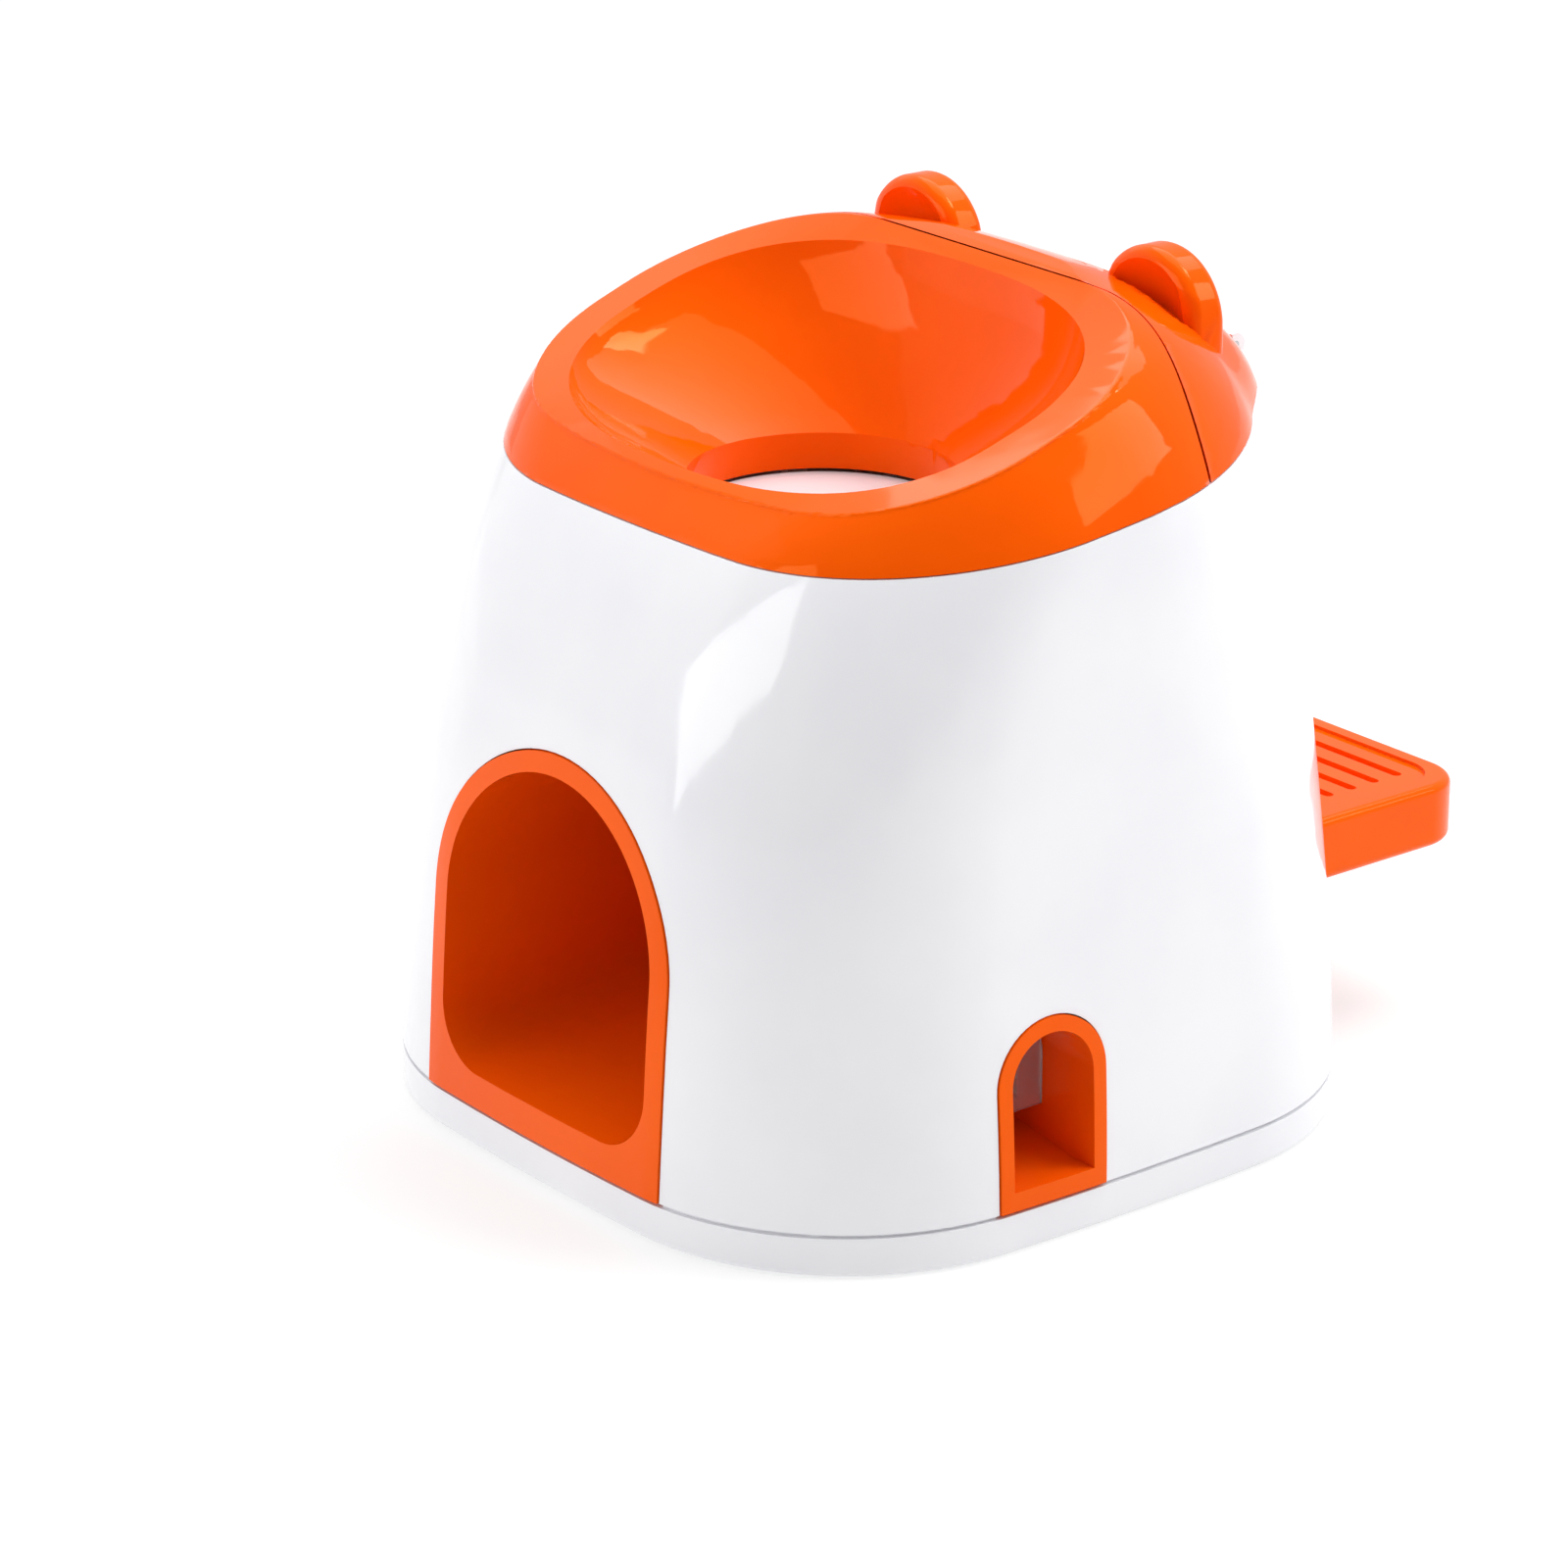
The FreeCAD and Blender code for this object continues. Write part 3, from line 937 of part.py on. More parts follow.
def pedal():
    low = PEDAL_TOP_Z - PEDAL_THICK
    pad = rounded_plan(PEDAL_HALF_WIDTH, PEDAL_PAD_Y, PEDAL_END_Y, PEDAL_CORNER)
    pad.translate(Vec(0, 0, low))
    pad = pad.extrude(Vec(0, 0, PEDAL_THICK))
    rims = [edge for edge in pad.Edges
            if edge.BoundBox.ZLength < 0.01 and edge.BoundBox.YMax > PEDAL_PAD_Y + 1]
    pad = pad.makeFillet(PEDAL_ROUND, rims)
    tread = rounded_plan(PEDAL_HALF_WIDTH - TREAD_INSET, FOOT_REAR + TREAD_NEAR, PEDAL_END_Y - TREAD_INSET,
                         PEDAL_CORNER - TREAD_INSET / 2)
    tread.translate(Vec(0, 0, PEDAL_TOP_Z - TREAD_DEPTH))
    cuts = [tread.extrude(Vec(0, 0, 5))]
    for step in range(PEDAL_SLOTS):
        y = PEDAL_END_Y - FIRST_SLOT_INSET - step * PEDAL_SLOT_PITCH
        slot = slot_face(PEDAL_SLOT_HALF, y, PEDAL_SLOT_WIDTH)
        slot.translate(Vec(0, 0, PEDAL_TOP_Z - TREAD_DEPTH - PEDAL_SLOT_DEPTH))
        cuts.append(slot.extrude(Vec(0, 0, 5)))
    hollow = rounded_plan(PEDAL_HALF_WIDTH - PEDAL_WALL, FOOT_REAR + TREAD_NEAR, PEDAL_END_Y - PEDAL_WALL,
                          PEDAL_CORNER - PEDAL_WALL)
    hollow.translate(Vec(0, 0, low - 1))
    cuts.append(hollow.extrude(Vec(0, 0, PEDAL_THICK - TREAD_DEPTH - PEDAL_SLOT_DEPTH - 2)))
    arms = []
    for side in (1, -1):
        x0, x1 = sorted((side * ARM_X0, side * ARM_X1))
        arms.append(box(x0, x1, PEDAL_HINGE_Y, PEDAL_PAD_Y + 2,
                        PEDAL_HINGE_Z - ARM_LOW, PEDAL_HINGE_Z + ARM_HIGH))
        arms.append(cyl("x", (PEDAL_HINGE_Y, PEDAL_HINGE_Z), ARM_HUB_R, x0, x1))
    arms.append(cyl("x", (PEDAL_HINGE_Y, PEDAL_HINGE_Z), ARM_HUB_R - 2, FIT_GAP - PLATE_X, -ARM_X1))
    pin = cyl("x", (PEDAL_HINGE_Y, PEDAL_HINGE_Z), BUSH_R, -ARM_X1, ARM_X1)
    pin = pin.fuse(cyl("x", (PEDAL_HINGE_Y, PEDAL_HINGE_Z), SHAFT_R + SHAFT_GAP, -FAR, FAR))
    screws = [cyl("x", place, SCREW_R, 0, FAR) for place in sector_screw_places()]
    return drilled(fuse([drilled(pad, cuts)] + arms), [pin] + screws)


def pedal_bushes():
    found = []
    for side in (1, -1):
        x0, x1 = sorted((side * ARM_X0, side * ARM_X1))
        place = (PEDAL_HINGE_Y, PEDAL_HINGE_Z)
        bush = cyl("x", place, BUSH_R, x0, x1)
        found.append(bush.cut(cyl("x", place, SHAFT_R + SHAFT_GAP, x0 - 1, x1 + 1)))
    return Part.makeCompound(found)


def pedal_spring():
    """Coil spring as a hexagonal wire on a helix of short straight runs."""
    length = PEDAL_TOP_Z - PEDAL_THICK - SPRING_FOOT_Z - 2 * (FIT_GAP + SPRING_WIRE)
    steps = SPRING_TURNS * SPRING_SIDES
    coil = SPRING_R - SPRING_WIRE
    low = SPRING_FOOT_Z + FIT_GAP + SPRING_WIRE
    points = []
    for step in range(steps + 1):
        angle = 2 * math.pi * step / SPRING_SIDES
        points.append(Vec(coil * math.cos(angle), SPRING_Y + coil * math.sin(angle),
                          low + length * step / steps))
    circle = Part.Circle(points[0], (points[1] - points[0]).normalize(), SPRING_WIRE)
    corners = [circle.value(2 * math.pi * corner / 6) for corner in range(6)]
    section = Part.makePolygon(corners + corners[:1])
    return Part.makePolygon(points).makePipeShell([section], True, False, 1)


def ball_gate():
    low = GATE_HINGE_Z + GATE_LIFT
    disc = cyl("z", (0, THROAT_Y), GATE_PLATE_R, low, low + GATE_THICK)
    dish = Part.makeSphere(GATE_DISH_R, Vec(0, THROAT_Y, low + GATE_THICK + GATE_DISH_R - GATE_DISH))
    disc = disc.makeFillet(1.0, [edge for edge in disc.Edges if edge.BoundBox.ZMin > low + 1]).cut(dish)
    arms = []
    for side in (1, -1):
        x0, x1 = sorted((side * GATE_ARM_X, side * (GATE_ARM_X + GATE_ARM_WIDTH)))
        arms.append(box(x0, x1, THROAT_Y + 14, GATE_HINGE_Y, GATE_HINGE_Z - 1.5, low + 1))
    hub = cyl("x", (GATE_HINGE_Y, GATE_HINGE_Z), GATE_HUB_R, -GATE_HUB_HALF, GATE_HUB_HALF)
    shaft = cyl("x", (GATE_HINGE_Y, GATE_HINGE_Z), SHAFT_R, -FAR, FAR)
    return fuse([disc] + arms + [hub]).cut(shaft)


def clips(place, play):
    """Retaining rings on both free ends of a shaft, outside the bearing plates."""
    near = PLATE_X + PLATE_THICK + play
    found = []
    for side in (1, -1):
        x0, x1 = sorted((side * near, side * (near + CLIP_THICK)))
        ring = cyl("x", place, SHAFT_R + CLIP_WIDTH, x0, x1)
        found.append(ring.cut(cyl("x", place, SHAFT_R, x0 - 1, x1 + 1)))
    return Part.makeCompound(found)


def screw(place, low, length, head_low):
    """Round-headed screw along Z with its head at the bottom, or at the top if head_low is false."""
    head = low if head_low else low + length
    shank = cyl("z", place, SCREW_R, low, low + length)
    top = (head, head + SCREW_HEAD - 0.3) if head_low else (head, head + 1.5)
    return shank.fuse(cyl("z", place, SCREW_HEAD_R, *top))


def sector_screws():
    head = SECTOR_X + GEAR_WIDTH
    found = []
    for place in sector_screw_places():
        shank = cyl("x", place, SCREW_R, ARM_X0 + 1, head)
        found.append(shank.fuse(cyl("x", place, SCREW_HEAD_R, head, head + FLAT_HEAD)))
    return Part.makeCompound(found)


def idler_pin():
    place, near = (IDLER_Y, IDLER_Z), DRIVE_X - FIT_GAP
    pin = cyl("x", place, IDLER_PIN_R, near, PLATE_X + PLATE_THICK)
    return pin.fuse(cyl("x", place, IDLER_PIN_R + CLIP_WIDTH, near - CLIP_THICK, near))


def pedal_bumpers():
    return Part.makeCompound([cyl("z", (side * BUMPER_X, BUMPER_Y), BUMPER_R, BUMPER_POST_Z, BUMPER_TOP_Z)
                              for side in (1, -1)])


def rubber_pads():
    return Part.makeCompound([cyl("z", place, PAD_R, 0, PAD_THICK) for place in pad_places()])


def base_screws():
    return Part.makeCompound([screw(place, SCREW_SUNK, POST_TOP_Z - 5, True) for place in shell_posts()])


def plate_screws():
    return Part.makeCompound([screw(place, FOOT_FLOOR - 2, PLATE_THICK + 2, False)
                              for place in plate_screw_places()])


def build():
    """All the nodes by name, each where it stands in the machine."""
    pedal_place = (PEDAL_HINGE_Y, PEDAL_HINGE_Z)
    wheel_place = (WHEEL_Y, WHEEL_Z)
    gate_place = (GATE_HINGE_Y, GATE_HINGE_Z)
    outer = PLATE_X + PLATE_THICK + FIT_GAP + CLIP_THICK
    hinge_end = HINGE_HALF + HINGE_KNUCKLE
    return {
        "base_plate": base_plate(),
        "body_shell": body_shell(),
        "front_tunnel": front_tunnel(),
        "treat_spout": treat_spout(),
        "funnel_cap": funnel_cap(),
        "rear_lid": rear_lid(),
        "lid_hinge_pin": cyl("x", hinge_axis(), HINGE_PIN_R, -hinge_end, hinge_end),
        "treat_hopper": treat_hopper(),
        "lid_seal": lid_seal(),
        "treat_chute": treat_chute(),
        "treat_flap": treat_flap(),
        "flap_pin": flap_pin(),
        "left_bearing_plate": bearing_plate(-1),
        "right_bearing_plate": bearing_plate(1),
        "outer_cheek": outer_cheek(),
        "pedal": pedal(),
        "pedal_bushes": pedal_bushes(),
        "pedal_sector": pedal_sector(),
        "sector_screws": sector_screws(),
        "pedal_shaft": cyl("x", pedal_place, SHAFT_R, -outer, outer),
        "pedal_spring": pedal_spring(),
        "pedal_bumpers": pedal_bumpers(),
        "treat_wheel": treat_wheel(),
        "wheel_shaft": cyl("x", wheel_place, SHAFT_R, SECTOR_X, CHEEK_X + PLATE_THICK),
        "wheel_pinion": wheel_pinion(),
        "gate_drive_gear": gate_drive_gear(),
        "idler_gear": idler_gear(),
        "idler_pin": idler_pin(),
        "gate_gear": gate_gear(),
        "gate_shaft": cyl("x", gate_place, SHAFT_R, -outer, outer),
        "ball_gate": ball_gate(),
        "pedal_clips": clips(pedal_place, 0),
        "gate_clips": clips(gate_place, FIT_GAP),
        "rubber_pads": rubber_pads(),
        "base_screws": base_screws(),
        "plate_screws": plate_screws(),
    }


os.makedirs("parts", exist_ok=True)
for name, shape in build().items():
    shape.exportStep("parts/" + name + ".step")
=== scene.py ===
import json
import math

import bmesh
import bpy
import numpy as np
from mathutils import Matrix, Quaternion, Vector


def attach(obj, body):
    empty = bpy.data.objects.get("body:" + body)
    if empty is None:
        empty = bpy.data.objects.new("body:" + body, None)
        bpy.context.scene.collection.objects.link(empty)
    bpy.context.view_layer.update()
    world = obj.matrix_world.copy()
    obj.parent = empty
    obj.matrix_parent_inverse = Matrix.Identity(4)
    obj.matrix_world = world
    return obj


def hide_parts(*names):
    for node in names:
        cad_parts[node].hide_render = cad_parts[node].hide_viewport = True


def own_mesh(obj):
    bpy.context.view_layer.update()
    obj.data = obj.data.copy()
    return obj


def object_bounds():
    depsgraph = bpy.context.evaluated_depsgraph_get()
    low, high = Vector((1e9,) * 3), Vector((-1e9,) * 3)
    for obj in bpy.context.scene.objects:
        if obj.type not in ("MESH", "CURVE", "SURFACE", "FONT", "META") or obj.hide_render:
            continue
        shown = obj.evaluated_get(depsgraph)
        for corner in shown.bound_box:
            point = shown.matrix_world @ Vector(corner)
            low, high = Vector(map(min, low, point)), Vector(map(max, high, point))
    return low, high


bl_info = {
    "name": "Ball and Treat Dispenser Dressing",
    "version": (1, 0, 0),
    "blender": (4, 5, 0),
    "location": "3D View > Sidebar > Dispenser",
    "description": "Gives a pedal-worked ball and treat dispenser its moulded surfaces, finishes and studio",
    "category": "Object",
}

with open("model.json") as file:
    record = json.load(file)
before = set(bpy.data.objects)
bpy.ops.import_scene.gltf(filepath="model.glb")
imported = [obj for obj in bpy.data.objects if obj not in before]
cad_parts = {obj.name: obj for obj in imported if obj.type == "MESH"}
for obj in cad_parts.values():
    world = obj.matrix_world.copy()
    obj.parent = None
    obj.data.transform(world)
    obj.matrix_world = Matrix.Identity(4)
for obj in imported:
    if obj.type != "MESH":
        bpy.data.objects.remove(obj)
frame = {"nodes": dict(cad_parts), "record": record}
CAD_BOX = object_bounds()
MM = 0.001


# ---------------------------------------------------------------- colours and shader nodes
def linear(code):
    """Turn an sRGB hex code into the linear colour that a shader wants."""
    channels = [int(code[start:start + 2], 16) / 255 for start in (1, 3, 5)]
    bent = [value / 12.92 if value <= 0.04045 else ((value + 0.055) / 1.055) ** 2.4 for value in channels]
    return (*bent, 1.0)


def add(tree, kind, settings=None, values=None, links=None):
    """Add a node with its settings, its socket values and the sockets that feed it."""
    made = tree.nodes.new(kind)
    for name, value in (settings or {}).items():
        setattr(made, name, value)
    for name, value in (values or {}).items():
        made.inputs[name].default_value = value
    for name, source in (links or {}).items():
        tree.links.new(source, made.inputs[name])
    return made


def surface(name):
    """A new material with an empty tree, and its shader, output and object coordinates."""
    made = bpy.data.materials.new(name)
    made.use_nodes = True
    tree = made.node_tree
    tree.nodes.clear()
    shader = add(tree, "ShaderNodeBsdfPrincipled")
    add(tree, "ShaderNodeOutputMaterial", links={"Surface": shader.outputs["BSDF"]})
    place = add(tree, "ShaderNodeTexCoord").outputs["Object"]
    return made, tree, shader, place


def per_metre(size_mm):
    """Texture scale whose features are about size_mm across."""
    return 1.0 / (size_mm * MM)


def noise(tree, place, size_mm, detail, roughness=0.5):
    """Noise whose features are about size_mm across, from 0 to 1."""
    made = add(tree, "ShaderNodeTexNoise", links={"Vector": place},
               values={"Scale": per_metre(size_mm), "Detail": detail, "Roughness": roughness})
    return made.outputs["Fac"]


def tinted(tree, shader, place, light, dark, size_mm):
    """Drift the base colour slowly between two near shades."""
    ramp = add(tree, "ShaderNodeValToRGB", links={"Fac": noise(tree, place, size_mm, 3.0)})
    ramp.color_ramp.elements[0].position = 0.35
    ramp.color_ramp.elements[1].position = 0.65
    ramp.color_ramp.elements[0].color = linear(dark)
    ramp.color_ramp.elements[1].color = linear(light)
    tree.links.new(ramp.outputs["Color"], shader.inputs["Base Color"])


def varied_roughness(tree, shader, place, low, high, size_mm):
    """Let the gloss differ a little from place to place."""
    spread = add(tree, "ShaderNodeMapRange", values={"To Min": low, "To Max": high},
                 links={"Value": noise(tree, place, size_mm, 4.0)})
    tree.links.new(spread.outputs["Result"], shader.inputs["Roughness"])


def relief(tree, shader, heights, depth_mm, strength=1.0):
    """Raise the surface by a height pattern, depth_mm from lowest to highest."""
    bump = add(tree, "ShaderNodeBump", values={"Strength": strength, "Distance": depth_mm * MM},
               links={"Height": heights})
    tree.links.new(bump.outputs["Normal"], shader.inputs["Normal"])


def peel(tree, place, size_mm):
    """Height pattern of long shallow waves."""
    return noise(tree, place, size_mm, 1.0, 0.3)


# ---------------------------------------------------------------- finishes
def gloss_abs(name, light, dark, low, high, sheen="#FFFFFF", shine=0.5):
    """Injection moulded ABS from a polished mould: a hard wet shine whose reflections wave very slightly."""
    made, tree, shader, place = surface(name)
    shader.inputs["IOR"].default_value = 1.53
    shader.inputs["Specular Tint"].default_value = linear(sheen)
    shader.inputs["Specular IOR Level"].default_value = shine
    tinted(tree, shader, place, light, dark, 60.0)
    varied_roughness(tree, shader, place, low, high, 9.0)
    # sink and flow waves about 14 mm apart, a few hundredths of a millimetre deep
    relief(tree, shader, peel(tree, place, 14.0), 0.03)
    return made


def white_abs():
    return gloss_abs("white_abs_gloss_moulded", light="#F0F0F3", dark="#EBEBEF", low=0.07, high=0.12)


def orange_abs():
    return gloss_abs("orange_abs_gloss_moulded", light="#F85C02", dark="#F35602", low=0.035, high=0.06,
                     sheen="#FFA850", shine=0.36)


def clear_polycarbonate():
    """Clear moulded polycarbonate sheet: slightly milky, bright at its edges, with faint handling haze."""
    made, tree, shader, place = surface("clear_polycarbonate_moulded")
    shader.inputs["Base Color"].default_value = linear("#F2F4F6")
    shader.inputs["Transmission Weight"].default_value = 0.88
    shader.inputs["IOR"].default_value = 1.58
    varied_roughness(tree, shader, place, 0.04, 0.14, 6.0)
    relief(tree, shader, peel(tree, place, 8.0), 0.02)
    return made


def satin_polymer(name, light, dark, low, high, grain_mm, depth_mm):
    """Polymer from a spark-eroded mould: a fine even grain and a soft sheen."""
    made, tree, shader, place = surface(name)
    shader.inputs["IOR"].default_value = 1.49
    tinted(tree, shader, place, light, dark, 30.0)
    varied_roughness(tree, shader, place, low, high, 5.0)
    grain = add(tree, "ShaderNodeTexVoronoi", values={"Scale": per_metre(grain_mm)}, links={"Vector": place})
    relief(tree, shader, grain.outputs["Distance"], depth_mm, 0.6)
    return made


def natural_polypropylene():
    return satin_polymer("natural_polypropylene_moulded", light="#D9D8D2", dark="#CFCEC8",
                         low=0.42, high=0.55, grain_mm=0.8, depth_mm=0.02)


def acetal():
    return satin_polymer("acetal_moulded", light="#E4E2DA", dark="#DAD8D0",
                         low=0.3, high=0.42, grain_mm=0.6, depth_mm=0.01)


WAVE_TURN = 20.0                                    # radians of the wave texture in one unit, at a scale of 1


def metal(name, code, low, high, along, radian_mm, depth_mm):
    """Bare metal with faint tool marks across the given axis, 2 pi times radian_mm apart."""
    made, tree, shader, place = surface(name)
    shader.inputs["Metallic"].default_value = 1.0
    shader.inputs["Base Color"].default_value = linear(code)
    varied_roughness(tree, shader, place, low, high, 3.0)
    bands = add(tree, "ShaderNodeTexWave", settings={"bands_direction": along}, links={"Vector": place},
                values={"Scale": per_metre(radian_mm) / WAVE_TURN, "Distortion": 1.5, "Detail": 2.0})
    relief(tree, shader, bands.outputs["Fac"], depth_mm, 0.5)
    return made


def ground_steel():
    """Centreless-ground steel pin: bright, with faint rings round it."""
    return metal("ground_steel", "#B9BBBE", low=0.18, high=0.3, along="X", radian_mm=0.6, depth_mm=0.004)


def drawn_spring_wire():
    """Oil-hardened drawn wire: darker, with a soft shine."""
    return metal("drawn_spring_wire", "#7E8288", low=0.28, high=0.4, along="Z", radian_mm=0.5, depth_mm=0.004)


def zinc_plate():
    """Bright zinc plated steel screws, cold and slightly blue."""
    return metal("zinc_plated_steel", "#C3C8CE", low=0.22, high=0.36, along="Z", radian_mm=0.5,
                 depth_mm=0.003)


def nitrile_rubber():
    """Compression moulded rubber: dark, matt and finely pitted."""
    made, tree, shader, place = surface("nitrile_rubber_moulded")
    shader.inputs["IOR"].default_value = 1.52
    tinted(tree, shader, place, "#2A2A2B", "#1E1E1F", 6.0)
    varied_roughness(tree, shader, place, 0.72, 0.88, 4.0)
    relief(tree, shader, noise(tree, place, 0.7, 3.0), 0.05)
    return made


def studio_paper():
    """Seamless white paper roll: even, matt and faintly fibrous, with a glow that keeps it white."""
    made, tree, shader, place = surface("white_paper_roll")
    shader.inputs["Base Color"].default_value = linear("#A8A8A8")
    shader.inputs["Roughness"].default_value = 0.95
    shader.inputs["Emission Color"].default_value = linear("#FFFFFF")
    shader.inputs["Emission Strength"].default_value = 0.58
    relief(tree, shader, noise(tree, place, 3.0, 2.0), 0.02)
    return made


FINISHES = {
    "white_abs": white_abs, "orange_abs": orange_abs, "clear_flap": clear_polycarbonate,
    "natural_pp": natural_polypropylene, "gear_acetal": acetal, "steel_pin": ground_steel,
    "spring_steel": drawn_spring_wire, "zinc_screw": zinc_plate, "soft_rubber": nitrile_rubber,
}
SLOT_OF = {part["node"]: part["material_slot"] for part in frame["record"]["subparts"]}
made_finishes = {}


def finish_for(slot):
    """The finish of a material slot, made once."""
    if slot not in made_finishes:
        made_finishes[slot] = FINISHES[slot]()
    return made_finishes[slot]


def paint(piece, slot):
    """Give a piece the one finish of its slot."""
    piece.data.materials.clear()
    piece.data.materials.append(finish_for(slot))


# ---------------------------------------------------------------- casing outline
# The solids' casing is a little fuller than the real one. The stand-ins wear a slimmer outline, and the
# pieces that fit in the casing are drawn in with it. Both outlines stand on the same foot and share the seam
# plane and the rim plane, so going from one to the other only moves points to or from the upright axis. Sizes
# are in millimetres.
FOOT_HEIGHT, FOOT_HALF_WIDTH, FOOT_FRONT, FOOT_REAR = 11.0, 112.5, 112.4, 111.8
SEAM_Z, SEAM_SLOPE = 186.7, 0.13
RIM_Z, RIM_SLOPE = 214.2, 0.356
FRONT_DRAFT = 9.0
FOOT_BOW, FOOT_CORNER = 989.0, 70.5
BOWL_Y, BOWL_HALF_WIDTH, BOWL_HALF_DEPTH, BOWL_POWER = -16.5, 78.6, 50.4, 2.5
SOLID_FORM = {
    "taper": 9.0, "waist": 2.0, "front": 25.0, "front_power": 5.0, "rear": 17.5, "rear_power": 4.5,
    "bow": 661.0, "front_corner": 64.5, "rear_corner": 77.0, "rim_in": 21.0, "rim_front": 71.5,
    "rim_rear": 46.0, "rim_front_corner": 50.0, "rim_rear_corner": 40.0, "rim_bow": 400.0,
}
WORN_FORM = {
    "taper": 8.4, "waist": 0.6, "front": 24.6, "front_power": 4.1, "rear": 24.6, "rear_power": 2.2,
    "bow": 876.0, "front_corner": 68.5, "rear_corner": 82.0, "rim_in": 22.3, "rim_front": 69.5,
    "rim_rear": 40.0, "rim_front_corner": 45.1, "rim_rear_corner": 48.7, "rim_bow": 319.0,
}
SOLID_SHOULDER, SOLID_REAR_POWER = 2.0, 1.3         # how the cap leans in from its seam to its rim
WORN_SHOULDER, WORN_REAR_SHOULDER = 1.15, 1.23
ARC_STEPS = 40                                      # points on one arc of an outline
ANGLE_STEPS = 720
LEVEL_STEPS = 40                                    # for the casing, and again for the cap
HINGE_HALF_ANGLE = math.radians(27)                 # the hinge's sector at the rear keeps its outline
FULL_ANGLE = math.radians(50)                       # past this angle from the rear the outline is all new
FIXED_DEPTH = 30.0                                  # what lies deeper than this inside the casing stays put
ON_AXIS = 0.001                                     # the smallest reach that a scale is worked out from


def blend(low, high, share):
    return low + (high - low) * share


def eased(share):
    """Share kept between 0 and 1, with a soft start and end."""
    share = np.clip(share, 0, 1)
    return share * share * (3 - 2 * share)


def polar(points):
    """Distance of points from the upright axis, and their angle round it from 0 to 2 pi."""
    return np.hypot(points[:, 0], points[:, 1]), np.arctan2(points[:, 1], points[:, 0]) % (2 * math.pi)


def reach_by_angle(points):
    """Distance of a closed outline from the origin, at even angles."""
    reach, angles = polar(points)
    order = np.argsort(angles)
    even = np.linspace(0, 2 * math.pi, ANGLE_STEPS, endpoint=False)
    return np.interp(even, angles[order], reach[order], period=2 * math.pi)


def rounded_outline(half_x, front, rear, bow, front_corner, rear_corner):
    """Reach of a rectangle with bowed sides and round corners."""
    half_y = (front + rear) / 2
    side_x, end_y = half_x - bow, half_y - bow
    span = math.hypot(side_x, end_y)
    points = []
    for along, corner in ((-1, front_corner), (1, rear_corner)):
        push = math.sqrt((bow - corner) ** 2 - span ** 2 / 4) / span
        centre = np.array([side_x / 2 - end_y * push, end_y / 2 - side_x * push])
        start = math.atan2(centre[1], centre[0] - side_x)
        end = math.atan2(centre[1] - end_y, centre[0])
        for middle, radius, low, high in (((side_x, 0), bow, 0, start), (centre, corner, start, end),
                                          ((0, end_y), bow, end, math.pi / 2)):
            turn = np.linspace(low, high, ARC_STEPS)
            x = middle[0] + radius * np.cos(turn)
            y = along * (middle[1] + radius * np.sin(turn)) + (rear - front) / 2
            points += [np.stack([x, y], 1), np.stack([-x, y], 1)]
    return reach_by_angle(np.concatenate(points))


def casing_reach(form, level):
    """Outline at a level from 0 at the foot to 1 at the seam."""
    half_x = FOOT_HALF_WIDTH - form["taper"] / 2 * (1 - math.cos(math.pi * level))
    half_x -= form["waist"] * math.sin(math.pi * level)
    front = FOOT_FRONT - FRONT_DRAFT * level - form["front"] * level ** form["front_power"]
    rear = FOOT_REAR - form["rear"] * level ** form["rear_power"]
    return rounded_outline(half_x, front, rear, blend(FOOT_BOW, form["bow"], level),
                           blend(FOOT_CORNER, form["front_corner"], level),
                           blend(FOOT_CORNER, form["rear_corner"], level))


def cap_reach(form, lean, rear_lean):
    """Outline between the seam and the rim, by how far the front and the rear lean in."""
    front = FOOT_FRONT - FRONT_DRAFT - form["front"]
    return rounded_outline(blend(FOOT_HALF_WIDTH - form["taper"], FOOT_HALF_WIDTH - form["rim_in"], lean),
                           blend(front, form["rim_front"], lean),
                           blend(FOOT_REAR - form["rear"], form["rim_rear"], rear_lean),
                           blend(form["bow"], form["rim_bow"], lean),
                           blend(form["front_corner"], form["rim_front_corner"], lean),
                           blend(form["rear_corner"], form["rim_rear_corner"], rear_lean))


def shoulder(level, power):
    """Lean of a round shoulder: 0 at its foot and 1 at its top, where it runs level."""
    return 1 - (1 - level ** power) ** (1 / power)


def bowl_reach():
    """Outline of the bowl's mouth in the cap."""
    turn = np.linspace(0, 2 * math.pi, ANGLE_STEPS, endpoint=False)
    cos, sin = np.cos(turn), np.sin(turn)
    x = np.sign(cos) * np.abs(cos) ** (2 / BOWL_POWER) * BOWL_HALF_WIDTH
    y = BOWL_Y + np.sign(sin) * np.abs(sin) ** (2 / BOWL_POWER) * BOWL_HALF_DEPTH
    return reach_by_angle(np.stack([x, y], 1))


def outline_tables():
    """Reach of both outlines from the foot to the rim, and of what stays put inside them."""
    levels = np.linspace(0, 1, LEVEL_STEPS + 1)
    solid = [casing_reach(SOLID_FORM, level) for level in levels]
    worn = [casing_reach(WORN_FORM, level) for level in levels]
    still = [reach - FIXED_DEPTH for reach in solid]
    bowl = bowl_reach()
    for level in levels[1:]:
        solid.append(cap_reach(SOLID_FORM, shoulder(level, SOLID_SHOULDER), level ** SOLID_REAR_POWER))
        worn.append(cap_reach(WORN_FORM, shoulder(level, WORN_SHOULDER), shoulder(level, WORN_REAR_SHOULDER)))
        still.append(blend(solid[-1] - FIXED_DEPTH, bowl, level))
    return np.array(solid), np.array(worn), np.array(still)


